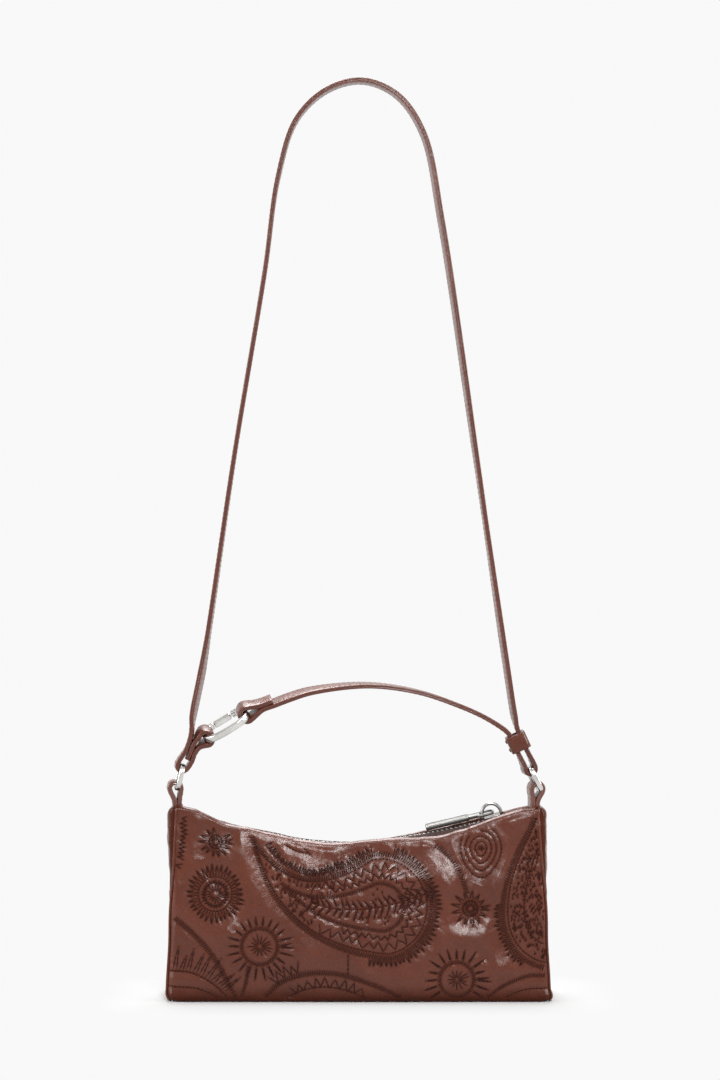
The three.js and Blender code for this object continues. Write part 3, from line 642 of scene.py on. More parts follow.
def circle(x, z, radius, squeeze=1.0, point=0.0):
    """A closed round line, drawn clockwise; point draws its lower end out."""
    turn = np.linspace(0, -2 * math.pi, 73)
    reach = radius * (1 + point * np.maximum(-np.sin(turn), 0) ** 3)
    return np.stack([x + squeeze * radius * np.cos(turn), z + reach * np.sin(turn)], axis=1)


class Boteh:
    """A bent teardrop: a round end about a centre and a tail that follows a curved spine to its tip."""

    def __init__(self, centre, bend, tip, radius, taper=(1, 1.3)):
        self.spine = [np.array(p, float) for p in (centre, bend, tip)]
        self.radius = radius
        self.taper = taper

    def middle(self, share):
        """Places along the spine."""
        a, b, c = self.spine
        return (1 - share) ** 2 * a + 2 * share * (1 - share) * b + share ** 2 * c

    def outline(self, scale=1.0, reach=1.0):
        """The closed outline, or a smaller one inside it whose tail ends at a share of the spine."""
        s = np.linspace(1, 0, 40)[:, None]
        k = s * reach
        a, b, c = self.spine
        middle = self.middle(k)
        ahead = unit(2 * (1 - k) * (b - a) + 2 * k * (c - b))
        side = left_of(ahead)
        half = scale * self.radius * (1 - s ** self.taper[0]) ** self.taper[1]
        turn = np.linspace(0, math.pi, 40)[1:-1, None]
        round_end = a + scale * self.radius * (np.cos(turn) * side[-1] - np.sin(turn) * ahead[-1])
        return np.vstack([middle + half * side, round_end, (middle - half * side)[::-1]])


class Embroidery:
    """Stitches on one panel: each is a short straight length of thread."""

    def __init__(self, seed):
        self.stitches = []
        self.random = np.random.default_rng(seed)

    def add(self, starts, ends):
        """Keeps straight stitches between these places."""
        self.stitches.append(np.stack([starts, ends], axis=1))

    def run(self, line, stitch):
        """Stitches one after another along a line."""
        points, ahead, _ = along(line, stitch + RUN_GAP)
        self.add(points - ahead * stitch / 2, points + ahead * stitch / 2)

    def band(self, line, width=BAND_WIDTH):
        """Close slanting stitches across a line."""
        points, ahead, side = along(line, BAND_PITCH)
        half = width / 2 * self.random.uniform(0.85, 1.15, (len(points), 1))
        lean = ahead * 0.35
        self.add(points - side * half - lean, points + side * half + lean)

    def zigzag(self, line, height, pitch):
        """One stitch after another, up and down across a line."""
        points, ahead, side = along(line, pitch / 2)
        sway = height / 2 * (1 - 2 * (np.arange(len(points)) % 2))
        points = points + side * (sway * self.random.uniform(0.6, 1.25, len(points)))[:, None]
        points = points + ahead * (pitch * self.random.uniform(-0.12, 0.12, len(points)))[:, None]
        self.add(points[:-1], points[1:])

    def rays(self, line, start, length, pitch, spread=0.0, lean=0.0):
        """Stitches that stand off a line to its left, slanted by a lean; a spread makes them narrow pairs."""
        points, ahead, side = along(line, pitch)
        reach = start + length * self.random.uniform(0.7, 1.2, (len(points), 1))
        sway = lean + 0.22 * pitch * self.random.uniform(-1, 1, (len(points), 1))
        for way in ((-1, 1) if spread else (0,)):
            ends = points + side * reach + ahead * (sway + 0.25 * way * spread)
            self.add(points + side * start + ahead * way * spread, ends)

    def seeds(self, outline, count, length):
        """Short upright stitches scattered inside an outline."""
        low, high = outline.min(axis=0), outline.max(axis=0)
        places = self.random.uniform(low, high, (count, 2))
        crossings = np.zeros(count, int)
        for (x0, z0), (x1, z1) in zip(outline, np.roll(outline, -1, axis=0)):
            spans = (places[:, 1] < z0) != (places[:, 1] < z1)
            with_z = x0 + (places[:, 1] - z0) * (x1 - x0) / (z1 - z0 if z1 != z0 else 1)
            crossings += spans & (places[:, 0] < with_z)
        places = places[crossings % 2 == 1]
        sway = self.random.uniform(-0.5, 0.5, len(places))
        half = length / 2 * np.stack([sway, np.ones(len(places))], axis=1)
        self.add(places - half, places + half)

    def sun(self, x, z, radius, ray, count):
        """A star of spokes inside a ring, with long looped rays round it."""
        turn = 2 * math.pi / count
        self.rays(circle(x, z, radius * 0.1), 0.2, radius * 0.52, radius * 0.1 * turn * 1.6)
        self.band(circle(x, z, radius), 2.0)
        self.rays(circle(x, z, radius), 1.4, ray, radius * turn, 0.5)

    def rosette(self, x, z, radius):
        """Rings of spokes, close together."""
        self.rays(circle(x, z, radius * 0.1), 0.2, radius * 0.22, 0.7)
        self.zigzag(circle(x, z, radius * 0.42), radius * 0.16, 1.8)
        self.run(circle(x, z, radius * 0.6), 1.5)
        self.rays(circle(x, z, radius * 0.62), 0.5, radius * 0.13, 1.7)
        self.rays(circle(x, z, radius * 0.76), 0.4, radius * 0.24, 2.6, 0.7)

    def flower(self, x, z, radius, petals):
        """A small disc with pointed petals."""
        self.rays(circle(x, z, radius * 0.12), 0.1, radius * 0.2, 0.6)
        self.zigzag(circle(x, z, radius * 0.4), radius * 0.12, 1.5)
        pitch = 2 * math.pi * radius * 0.5 / petals
        self.rays(circle(x, z, radius * 0.5), 0.3, radius * 0.46, pitch, pitch * 0.34)

    def paisley(self, boteh):
        """A spiked teardrop in bands, with zigzags between them and a small leafy one in the middle."""
        outer = boteh.outline()
        self.band(outer)
        self.run(boteh.outline(0.91, 0.97), 1.8)
        within = boteh.outline(0.86, 0.93)
        self.seeds(np.vstack([within[:24], within[-30:]]), 420, 1.6)
        self.zigzag(boteh.outline(0.77, 0.88)[24:100], 5.6, 6.8)
        self.zigzag(boteh.outline(0.6, 0.78)[28:94], 3.4, 4.8)
        self.band(boteh.outline(0.46, 0.66), 2.0)
        vein = boteh.middle(np.linspace(-0.26, 0.42, 12)[:, None])
        for way in (1, -1):
            self.rays(vein[::way], 0.5, boteh.radius * 0.17, 4.2, 0.5, way * 2.8)
        self.run(vein, 1.6)
        self.seeds(boteh.outline(0.36, 0.4), 70, 1.2)
        self.rays(outer[36:100][::-1], 1.6, 4.4, 2.5, 0.8)

    def kept(self, inside):
        """Every stitch whose ends lie on the panel."""
        stitches = np.concatenate(self.stitches)
        return stitches[inside(stitches[:, 0]) & inside(stitches[:, 1])]


# Bag body: one soft shell, cut at its seams into front, back, sides and base


def edge_height(x, side=-1):
    """Height of the folded top edge of the front (-1) or back (1)."""
    x = np.asarray(x, float)
    places, rises = np.array(EDGE_TRIM[side], float).T
    fine = np.arange(-TRIM_SPAN, TRIM_SPAN + 0.5, 1.0)
    around = np.arange(-3 * TRIM_BLUR, 3 * TRIM_BLUR + 1)
    kernel = np.exp(-0.5 * (around / TRIM_BLUR) ** 2)
    kinked = np.pad(np.interp(fine, places, rises), 3 * TRIM_BLUR, mode="edge")
    trim = np.convolve(kinked, kernel / kernel.sum(), "valid")
    pleats = 0.3 * smooth_noise(x, 3 * side, 7, 15) + 0.14 * smooth_noise(x, 3 * side, 2.8, 16)
    arc = EDGE_CENTRE - np.sqrt(EDGE_RADIUS ** 2 - x ** 2)
    return arc + np.interp(x, fine, trim) + pleats - LIP_RISE


def side_reach(side, z):
    """How far the left (-1) or right (1) side stands from the middle: wider at its top and at the floor."""
    z = np.asarray(z, float)
    upright = SIDE_REACH[side] + SIDE_SPREAD * (1 - smooth_step(*SPREAD_HEIGHTS, z))
    upright = upright + SHOULDER_SPREAD[side] * smooth_step(*SHOULDER_HEIGHTS, z)
    ear = EAR_FLARE[side] * (1 - smooth_step(0, EAR_HEIGHT, z))
    low = np.clip(EAR_CORNER - z, 0, EAR_CORNER)
    rounding = EAR_CORNER - np.sqrt(EAR_CORNER ** 2 - low ** 2)
    return upright + ear - rounding


def either_reach(x, z):
    """How far the side that is nearer to each place stands from the middle."""
    return np.where(x < 0, side_reach(-1, z), side_reach(1, z))


def seam_inset(z):
    """How far in from the side silhouette the seam of the front or back lies."""
    return SEAM_INSET_LOW + (SEAM_INSET_TOP - SEAM_INSET_LOW) * smooth_step(*SEAM_HEIGHTS, z)


class Panel:
    """The front (side -1) or back (side 1): a bulge, dented by its stitches and puffed out between them."""

    def __init__(self, side, design, seed):
        self.side = side
        self.stitches = design.kept(self.on_panel)
        self.xs = np.arange(-RELIEF_REACH, RELIEF_REACH + 0.01, RELIEF_STEP)
        self.zs = np.arange(RELIEF_HEIGHTS[0], RELIEF_HEIGHTS[1] + 0.01, RELIEF_STEP)
        self.distance = self.distances()
        self.relief = self.heights(seed)

    def on_panel(self, points):
        """Which of these places a stitch may reach, clear of the seams and edges."""
        x, z = points[:, 0], points[:, 1]
        reach = either_reach(x, z) - seam_inset(z) - SEAM_CLEAR
        return (np.abs(x) < reach) & (z > EDGE_CLEAR) & (z < edge_height(x, self.side) - EDGE_CLEAR)

    def distances(self):
        """Distance to the nearest stitch at each place of the relief grid."""
        shares = np.linspace(0, 1, 5)[None, :, None]
        traced = (self.stitches[:, :1] * (1 - shares) + self.stitches[:, 1:] * shares).reshape(-1, 2)
        tree = KDTree(len(traced))
        for i, (x, z) in enumerate(traced):
            tree.insert((x, z, 0), i)
        tree.balance()
        return np.array([[tree.find((x, z, 0))[2] for x in self.xs] for z in self.zs])

    def heights(self, seed):
        """How far the leather stands out at each place of the relief grid."""
        x, z = np.meshgrid(self.xs, self.zs)
        d = self.distance
        dent = DENT_DEPTH * np.exp(-((d / DENT_REACH) ** 2))
        puff = PUFF_RISE * (1 - np.exp(-((d / PUFF_REACH) ** 2))) - dent
        ripples = 0.1 * smooth_noise(x, z, 2.6, seed) + 0.05 * smooth_noise(x, z, 1.3, seed + 1)
        pucker = np.exp(-d / PUCKER_REACH) * ripples
        for place_x, place_z, wide, high, rise in PILLOWS[self.side]:
            puff = puff + rise * np.exp(-(((x - place_x) / wide) ** 2) - ((z - place_z) / high) ** 2)
        sag = 1.1 * smooth_noise(x * 0.8, z, 36, seed + 2)
        sag = sag + 0.5 * smooth_noise(x + 0.5 * z, z - 0.3 * x, 15, seed + 3)
        fold = 0.35 * smooth_noise(x + 0.8 * z, 0.35 * (z - 0.6 * x), 6.5, seed + 4)
        return puff + pucker + sag + fold

    def sample(self, grid, x, z):
        """A value of a relief grid between its places."""
        i = np.clip((np.asarray(x) - self.xs[0]) / RELIEF_STEP, 0, len(self.xs) - 1.001)
        j = np.clip((np.asarray(z) - self.zs[0]) / RELIEF_STEP, 0, len(self.zs) - 1.001)
        i0, j0 = i.astype(int), j.astype(int)
        fi, fj = i - i0, j - j0
        low = grid[j0, i0] * (1 - fi) + grid[j0, i0 + 1] * fi
        high = grid[j0 + 1, i0] * (1 - fi) + grid[j0 + 1, i0 + 1] * fi
        return low * (1 - fj) + high * fj

    def depth(self, x, z):
        """How far the leather stands out from the middle plane."""
        edge = edge_height(x, self.side)
        share = np.clip(z / edge, 0, 1)
        base = BASE_DEPTH[self.side]
        flat = base + (TOP_DEPTH - base) * share
        bulge = BULGE * (1 - (np.abs(x) / BULGE_REACH) ** 2.4) * np.sin(math.pi * share ** 0.8)
        reach = either_reach(x, z)
        into = np.clip(np.abs(x) - (reach - SIDE_CORNER), 0, SIDE_CORNER)
        drop = SIDE_CORNER - np.sqrt(SIDE_CORNER ** 2 - into ** 2)
        calm = smooth_step(0, 4, reach - np.abs(x)) * smooth_step(0, 5, z) * smooth_step(-1, 3.5, edge - z)
        return flat + bulge - drop + calm * self.sample(self.relief, x, z)

    def point(self, x, z):
        """Places on the leather."""
        return points_at(x, self.side * self.depth(x, z), z)

    def normal(self, x, z):
        """The way out of the leather."""
        step = 0.4
        across = self.point(x + step, z) - self.point(x - step, z)
        up = self.point(x, z + step) - self.point(x, z - step)
        return self.side * unit(np.cross(up, across))

    def surface(self):
        """Rows of points from the rolled base over the folded lip and down its facing, and their painted
        shade.
        """
        columns = int(PANEL_WIDTH / PANEL_STEP)
        u = np.linspace(0, 1, columns)
        guess = -SEAM_REACH + 2 * SEAM_REACH * u
        rows = []
        painted_shades = []

        def add_row(share, rise=0.0, inset=0.0, z_low=None):
            z = share * edge_height(guess, self.side) if z_low is None else np.full(columns, z_low)
            left = seam_inset(z) - side_reach(-1, z)
            right = side_reach(1, z) - seam_inset(z)
            x = left + (right - left) * u
            z = share * edge_height(x, self.side) if z_low is None else z
            place = self.point(x, z)
            place[:, 1] -= self.side * inset
            place[:, 2] += rise
            rows.append(place)
            # Painted shade: darker in the dents along the stitches and towards the floor.
            painted_shade_and_edge_paint = STITCH_SHADE * np.exp(-((self.sample(self.distance, x, z) / STITCH_SHADE_REACH) ** 2))
            low_shade = BASE_SHADE * (1 - smooth_step(0, BASE_SHADE_HEIGHT, place[:, 2]))
            painted_shades.append(np.maximum(painted_shade_and_edge_paint * (rise == 0) * (inset == 0), low_shade))

        for turn in np.linspace(0, math.pi / 2, 9)[:-1]:
            low = BASE_ROLL * (1 - math.cos(turn))
            add_row(0, inset=BASE_ROLL * (1 - math.sin(turn)), z_low=low)
        start = BASE_ROLL / EDGE_LOW
        for share in np.linspace(start, 1, int((PANEL_HEIGHT - BASE_ROLL) / PANEL_STEP)):
            low = BASE_ROLL if share == start else None
            add_row(share, z_low=low)
        bend = LIP_TURN + LIP_SWAY * smooth_noise(guess, 7 * self.side, 16, 23)
        ahead, over = LIP_FLAT * np.sin(bend), LIP_FLAT * np.cos(bend)
        for share in np.linspace(0, 1, 5)[1:]:
            turn = share * bend
            add_row(1, rise=LIP_RADIUS * np.sin(turn), inset=LIP_RADIUS * (1 - np.cos(turn)))
        for share in np.linspace(0, 1, 6):
            turn = bend + share * (math.pi - bend)
            add_row(1, rise=over + LIP_RADIUS * np.sin(turn), inset=ahead + LIP_RADIUS * (1 - np.cos(turn)))
        for drop in np.linspace(0, FACING_DROP, 8)[1:]:
            add_row(1, rise=over - drop, inset=ahead + 2 * LIP_RADIUS + FACING_SLANT * drop)
        return np.array(rows), np.array(painted_shades)


def front_design():
    """A large bent teardrop with suns, flowers and arcs about it."""
    design = Embroidery(3)
    design.paisley(Boteh((14, 61), (-47, 50), (-70, 106), 33))
    design.rays(drawn((-64, 101), (-50, 86), (-30, 79), (-10, 84)), 1.5, 4.5, 2.2, 0.7)
    design.rosette(-93, 69, 18)
    design.sun(-64, 36, 11.5, 8, 22)
    design.sun(63, 15, 11, 8.5, 20)
    design.flower(-93, 102, 10.5, 14)
    design.flower(72, 60, 12, 13)
    design.band(drawn((37, 101), (52, 98), (63, 87), (70, 70)))
    for radius in (4, 7.5, 11, 14.5):
        design.run(circle(79, 98, radius, 0.92, 0.28), 1.9)
    design.band(circle(79, 98, 1.2), 1.6)
    edge = Boteh((127, 55), (119, 96), (115, 121), 34, (1.8, 1.5))
    design.band(edge.outline())
    design.run(edge.outline(0.9, 0.96), 1.6)
    design.seeds(edge.outline(0.84, 0.9), 1300, 1.4)
    design.run(edge.outline(0.58, 0.72), 1.6)
    design.rays(drawn((107, 27.5), (98, 37.5), (93.3, 50), (93, 62)), 1.5, 4.2, 2.5, 0.8)
    design.band(drawn((-121, 55), (-105, 42), (-93, 28), (-79, 3)))
    design.band(drawn((-71, 23), (-73, 12), (-76, 3)), 2)
    design.band(drawn((-61, 3), (-50, 13), (-34, 18.5), (-14, 18.5), (8, 12), (26, 4)))
    design.run(drawn((-46, 3), (-36, 8), (-22, 10), (-8, 8), (4, 3)), 1.8)
    design.zigzag(drawn((4, 6), (-10, 11.5), (-26, 13), (-44, 7)), 7, 6)
    design.zigzag(drawn((-56, 14), (-47, 20), (-38, 23)), 7, 5)
    design.run(drawn((-7, 30), (-7, 19)), 1.8)
    design.band(drawn((82, 3), (95, 12), (110, 17), (121, 17)), 2)
    design.run(drawn((96, 4), (106, 8), (120, 9)), 1.8)
    design.run(drawn((-121, 20), (-108, 19), (-94, 12), (-84, 3)), 1.8)
    design.rays(drawn((-88, 7), (-98, 15), (-110, 19), (-119, 20))[::-1], 1.2, 13, 4.2, 1.2, 2)
    design.run(drawn((-121, 10), (-104, 9), (-92, 4)), 1.8)
    design.run(drawn((-52, 103), (-43, 97), (-32, 94)), 1.6)
    design.run(drawn((-52, 103), (-40, 101), (-32, 94)), 1.6)
    design.zigzag(drawn((-113.5, 118), (-114.5, 100), (-117.5, 84)), 4.6, 2.8)
    return design


def back_design():
    """Two smaller teardrops and scattered suns."""
    design = Embroidery(5)
    design.paisley(Boteh((-58, 52), (-20, 40), (-14, 86), 27))
    design.paisley(Boteh((62, 60), (22, 64), (26, 20), 25))
    design.sun(2, 62, 9, 7, 20)
    design.rosette(-100, 88, 13)
    design.rosette(102, 92, 12)
    design.flower(104, 26, 11, 13)
    design.flower(-102, 20, 10, 12)
    design.band(drawn((-40, 4), (-18, 16), (6, 12), (20, 4)))
    design.band(drawn((34, 99), (60, 93), (84, 100)), 2)
    design.run(drawn((-86, 104), (-60, 94), (-34, 98)), 1.8)
    return design


def open_with_mouth(piece, half, slot, *nodes):
    """A piece of one half of the front, fixed in place, that stands for these CAD nodes; half and slot are
    not used.
    """
    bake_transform(piece)
    if nodes:
        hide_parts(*nodes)


def add_sheet(name, rows, turn=1):
    """An open sheet of leather through rows of points; turn -1 has its faces the other way round."""
    faces = [face[::turn] for face in grid_faces(*rows.shape[:2])]
    return add_mesh(name, rows, faces, BROWN_LEATHER, turn_out=False)


def add_front(panel):
    """The front in two halves with one smooth surface; returns its rows of points."""
    rows, painted_shades = panel.surface()
    normals = -panel.side * facing(rows)
    middle = int(np.argmin(np.abs(rows[40, :, 0])))
    for half, part in (("left", np.s_[:, : middle + 1]), ("right", np.s_[:, middle:])):
        piece = add_sheet("front_" + half, rows[part])
        keep_normals(piece, normals[part])
        mark(piece, "painted_shade_and_edge_paint", painted_shades[part])
        open_with_mouth(piece, half, "leather", "front_panel")
    return rows


def add_back(panel):
    """The back as one sheet; returns its rows of points."""
    rows, painted_shades = panel.surface()
    piece = add_sheet("back", rows, -1)
    mark(piece, "painted_shade_and_edge_paint", painted_shades)
    settle(piece, "bag", "leather", "back_panel")
    return rows


def stitch_mesh(panel, stitches):
    """The thread of these stitches, lying on the panel."""
    shares = np.array([0, 0.15, 0.5, 0.85, 1])[None, :, None]
    flat = stitches[:, :1] * (1 - shares) + stitches[:, 1:] * shares
    x, z = flat[..., 0], flat[..., 1]
    return threads(panel.point(x, z), panel.normal(x, z), THREAD)


def add_embroidery(panel, name):
    """The stitching of a panel; the front's is in two halves, as its leather is."""
    middles = panel.stitches[:, :, 0].mean(axis=1)
    if panel.side > 0:
        settle(add_mesh(name, *stitch_mesh(panel, panel.stitches), BROWN_THREAD), "bag", "leather")
        return
    for half, chosen in (("left", middles < 0), ("right", middles >= 0)):
        piece = add_mesh(name + "_" + half, *stitch_mesh(panel, panel.stitches[chosen]), BROWN_THREAD)
        open_with_mouth(piece, half, "leather")


GUSSET_TOP = 124.4
SHOULDER = 7
TUCK_DEPTH = 0.5
TUCK_START = 40
# How the top of a side wall turns over: inwards, up
GUSSET_LIP = ((1.2, 0.5), (2.2, -0.4), (2.2, -5))
WELT = 0.8
WELT_OUT = (0.3, 0.4)
BASE_LIFT = 0.3


def add_side(name, side, front_rows, back_rows):
    """A side wall between the seams of the front and back, tucked in towards its top, and its two welts."""
    column = 0 if side < 0 else -1
    front, back = front_rows[:, column], back_rows[:, column]
    top = min(GUSSET_TOP, front[:, 2].max() - 0.5)
    count = int(np.argmax(front[:, 2] > top))
    front, back = front[:count], back[:count]
    turns = np.linspace(0, math.pi, 33)
    sway = np.sin(turns) ** 0.5
    z = front[:, 2:]
    over = np.clip(z - (top + 0.6 - SHOULDER), 0, SHOULDER)
    bow = side_reach(side, z) - (SHOULDER - np.sqrt(SHOULDER ** 2 - over ** 2)) - np.abs(front[:, :1])
    tuck = TUCK_DEPTH * smooth_step(TUCK_START, top, z) * np.sin(turns) ** 3
    across = 12 * turns[None, :]
    creases = 0.6 * smooth_noise(z + 0.3 * across, across, 9, 31 + side)
    creases = creases + 0.3 * smooth_noise(z, across, 3.6, 33 + side)
    creases = creases * np.sin(turns) ** 0.7
    x = front[:, :1] + side * (bow * sway - tuck + creases)
    y = front[:, 1:2] + (back[:, 1:2] - front[:, 1:2]) * (1 - np.cos(turns)) / 2
    rows = points_at(x, y, z)
    lip = np.array([[[-side * inwards, 0, rise]] for inwards, rise in GUSSET_LIP])
    rows = np.concatenate([rows, rows[-1:] + lip])
    piece = add_sheet(name + "_gusset_leather", rows, -side)
    # Painted shade along the side wall's seam with the front.
    mark(piece, "painted_shade_and_edge_paint", np.clip(1 - 0.3 * np.abs(rows[..., 1] - rows[..., :1, 1]), 0, 0.5))
    settle(piece, "bag", "leather", name + "_gusset")
    for end, way, seam in (("front", -1, front), ("back", 1, back)):
        outer = seam[4:] + np.array([side * WELT_OUT[0], way * WELT_OUT[1], 0])
        welt = add_mesh(name + "_" + end + "_welt", *tube(even(outer, 1.2), WELT, sides=8), BROWN_LEATHER)
        settle(welt, "bag", "leather")


def add_base(front_rows, back_rows):
    """The base between the rolled lower edges of front and back, and the finish of the board on it."""
    shares = np.linspace(0, 1, 15)[:, None, None]
    rows = front_rows[0] * (1 - shares) + back_rows[0] * shares
    rows[..., 2] = BASE_LIFT * np.abs(2 * shares[..., 0] - 1)
    piece = add_sheet("base_leather", rows, -1)
    settle(piece, "bag", "leather", "base_panel")
    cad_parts["base_stiffener"].data.materials.clear()
    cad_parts["base_stiffener"].data.materials.append(BOARD)


# Lining and zip

LINING = 0.6
LINING_FOOT = 4.4
LINING_TOP = 5
LINING_GAP = 3.4
LINING_SLACK = 0.3
LINING_ENDS = (-117, 115)
TAPE = 0.7
TAPE_EDGES = (9.7, 3.0)
ZIP_END = 95
ZIP_END_REACH = {-1: 116, 1: 111.2}
ZIP_END_HALF = 9.2
ZIP_END_THICKNESS = 1.4
STOP_PLACE = 93.6
STOP_ACROSS = 2.2
TOP_STOP = (2.4, 2.6, 2.2)
BOTTOM_STOP = (2.6, 6.8, 2.4)
TEETH_END = 92
TOOTH_PITCH = 3
TOOTH_GIRTH = 0.8
TOOTH_ENDS = (3.6, -0.5)
BEAD_PLACE = 3.5
BEAD_GIRTH = 0.6


def lining_rows(panel, low_x, high_x):
    """The lining's face, a little inside the leather, from the base up to the facing."""
    x = np.linspace(low_x, high_x, int((high_x - low_x) / 3))
    rows = []
    for share in np.linspace(0, 1, 36):
        z = LINING_FOOT + share * (edge_height(x, panel.side) - LINING_TOP - LINING_FOOT)
        base = BASE_DEPTH[panel.side]
        flat = base + (TOP_DEPTH - base) * z / edge_height(x, panel.side)
        slack = LINING_SLACK * smooth_noise(x, z, 14, 71 + panel.side)
        rows.append(points_at(x, panel.side * (flat - LINING_GAP + slack), z))
    return np.array(rows)


def add_linings(front, back):
    """Thin cloth inside the front, in its two halves, and inside the back."""
    for half, low, high in (("left", LINING_ENDS[0], 0), ("right", 0, LINING_ENDS[1])):
        piece = add_mesh("front_lining_" + half, *slab(lining_rows(front, low, high), LINING), LINING_CLOTH)
        open_with_mouth(piece, half, "lining", "front_lining")
    piece = add_mesh("back_lining_cloth", *slab(lining_rows(back, *LINING_ENDS), LINING), LINING_CLOTH)
    settle(piece, "bag", "lining", "back_lining")


def zip_arc(x):
    """Height of the arc that the slider follows."""
    return EDGE_CENTRE - np.sqrt(ZIP_RADIUS ** 2 - np.asarray(x, float) ** 2)


def zip_height(x):
    """Height of the zip, which lies a little under its arc to the left, where it sinks behind the front."""
    sunk = 1.9 * (1 - smooth_step(0, 45, x)) + 1.4 * (1 - smooth_step(-96, -62, x))
    sunk = sunk + 1.3 * smooth_step(-58, -35, x) * (1 - smooth_step(-5, 20, x))
    return zip_arc(x) - sunk + 0.5 * smooth_step(35, 75, x)


def tape_rows(side, low, high):
    """One tape from under the lip to the bead of its teeth."""
    x = np.linspace(low, high, int((high - low) / 1.5))
    lip = np.minimum(zip_height(x) - 0.6, edge_height(x, side) + 0.2)
    rows = []
    for share, depth in zip(np.linspace(0, 1, 8), np.linspace(*TAPE_EDGES, 8)):
        rise = (zip_height(x) - lip) * smooth_step(0, 0.8, share)
        z = lip + rise + 0.12 * smooth_noise(x, 9 * share, 3, 81)
        rows.append(points_at(x, side * depth, z))
    return np.array(rows if side > 0 else rows[::-1])


def teeth(side, low, high):
    """Rounded metal teeth on the bead, set between those of the other row."""
    x = np.arange(low, high, TOOTH_PITCH) + (TOOTH_PITCH / 2 if side > 0 else 0)
    reach = np.linspace(*TOOTH_ENDS, 5)
    middles = points_at(x[:, None], side * reach, zip_height(x)[:, None])
    out = np.broadcast_to(np.array([0.0, 0, 1]), middles.shape)
    body = threads(middles, out, TOOTH_GIRTH, (0.7, 1, 0.9, 1, 0.6), (0, 0, 0, 0, 0), 8)
    bead_x = np.arange(low - 1, high + 0.5, 1.0)
    bead = points_at(bead_x, side * BEAD_PLACE, zip_height(bead_x))
    return joined([body, tube(bead, BEAD_GIRTH, sides=8)])


def add_zip():
    """Tapes and rows of teeth, the front's in its two halves, with their stops and covered ends."""
    for half, low, high in (("left", -ZIP_END, 0), ("right", 0, ZIP_END)):
        piece = add_mesh("front_tape_" + half, *slab(tape_rows(-1, low, high), TAPE), ZIP_CLOTH)
        open_with_mouth(piece, half, "zip_tape", "front_zip_tape")
        row = teeth(-1, max(low, -TEETH_END) + 1, min(high, TEETH_END))
        piece = add_mesh("front_teeth_" + half, *row, ZIP_SILVER)
        open_with_mouth(piece, half, "zip_metal", "front_zip_teeth")
    piece = add_mesh("back_tape", *slab(tape_rows(1, -ZIP_END, ZIP_END), TAPE), ZIP_CLOTH)
    settle(piece, "bag", "zip_tape", "back_zip_tape")
    piece = add_mesh("back_teeth", *teeth(1, 1 - TEETH_END, TEETH_END - 1), ZIP_SILVER)
    settle(piece, "bag", "zip_metal", "back_zip_teeth")
    add_stops()
    for name, way in (("left", -1), ("right", 1)):
        add_zip_end(name, way)


def on_zip(place):
    """A place on the zip's arc and its directions: along, across and up."""
    height = float(zip_arc(place))
    slope = float(zip_arc(place + 1) - zip_arc(place - 1)) / 2
    ahead = unit([1, 0, slope])
    return np.array([place, 0, height]), np.array([ahead, [0, 1, 0], [-ahead[2], 0, ahead[0]]])


def add_stops():
    """The small metal blocks at both ends of the rows."""
    top, axes = on_zip(STOP_PLACE)
    for name, side in (("front", -1), ("back", 1)):
        middle = top + np.array([0, side * STOP_ACROSS, 0])
        piece = add_mesh(name + "_stop", *block(TOP_STOP, 0.5, 0.4, middle, axes, 3), ZIP_SILVER)
        if side < 0:
            open_with_mouth(piece, "right", "zip_metal", "front_top_stop")
        else:
            settle(piece, "bag", "zip_metal", "back_top_stop")
    low, axes = on_zip(-STOP_PLACE)
    low[2] = zip_height(-STOP_PLACE)
    piece = add_mesh("bottom_stop", *block(BOTTOM_STOP, 0.6, 0.4, low, axes, 3), ZIP_SILVER)
    settle(piece, "bag", "zip_metal", "zip_bottom_stop")


def add_zip_end(name, way):
    """The folded, puckered end of the tapes."""
    along_zip = np.linspace(ZIP_END + 0.4, ZIP_END_REACH[way], 26)
    rows = []
    for y in np.linspace(-ZIP_END_HALF, ZIP_END_HALF, 17):
        wrinkle = 0.5 * smooth_noise(along_zip, y, 2.6, 91 + way)
        rise = 0.4 + wrinkle - 1.2 * smooth_step(106, 112, along_zip) + 0.5 * math.cos(y * 0.34)
        z = np.minimum(zip_height(way * along_zip), edge_height(way * along_zip) - 0.4) + rise
        rows.append(points_at(way * along_zip, y, z))
    rows = np.array(rows)[:, ::-way]
    piece = add_mesh(name + "_tape_end", *slab(rows, ZIP_END_THICKNESS), DULL_LEATHER)
    settle(piece, "bag", "dark_leather", name + "_zip_end")


# Slider and puller

SLIDER_PLACE = 88
SLIDER_LENGTH = 11.5
SLIDER_WIDTH = 8.6
SLIDER_PLATE = 1.1
SLIDER_HALF_GAP = 1.8
SLIDER_SLACK = 1.8
SLIDER_WALL = (SLIDER_LENGTH - 4, 1.8, 0.8)
POST_LENGTH = 2.2
POST_WIDTH = 0.7
POST_AHEAD = 4.2
POST_FRONT = 1.15
ARCH_REACH = 6.4
ARCH_RISE = 8.4
ARCH_WIRE = 1.1
PIVOT_RISE = 5.4
EYE_LENGTH = 10.4
EYE_WIDTH = 5.2
EYE_WIRE = 0.85
EYE_BACK = 4.2
LINK_START = 8
LINK_WIDTH = 4.6
LINK_THICKNESS = 2.0
RIM_MARGIN = 1.5
RIM_WIDTH = 4.2
RIM_WIRE = 0.28
PULLER_LENGTH = 44
PULLER_WIDTH = 6
PULLER_THICKNESS = 2.6
PULLER_STEP = 16
PULLER_SLOPE = math.radians(13.4)
PULLER_LEAN = math.radians(18)


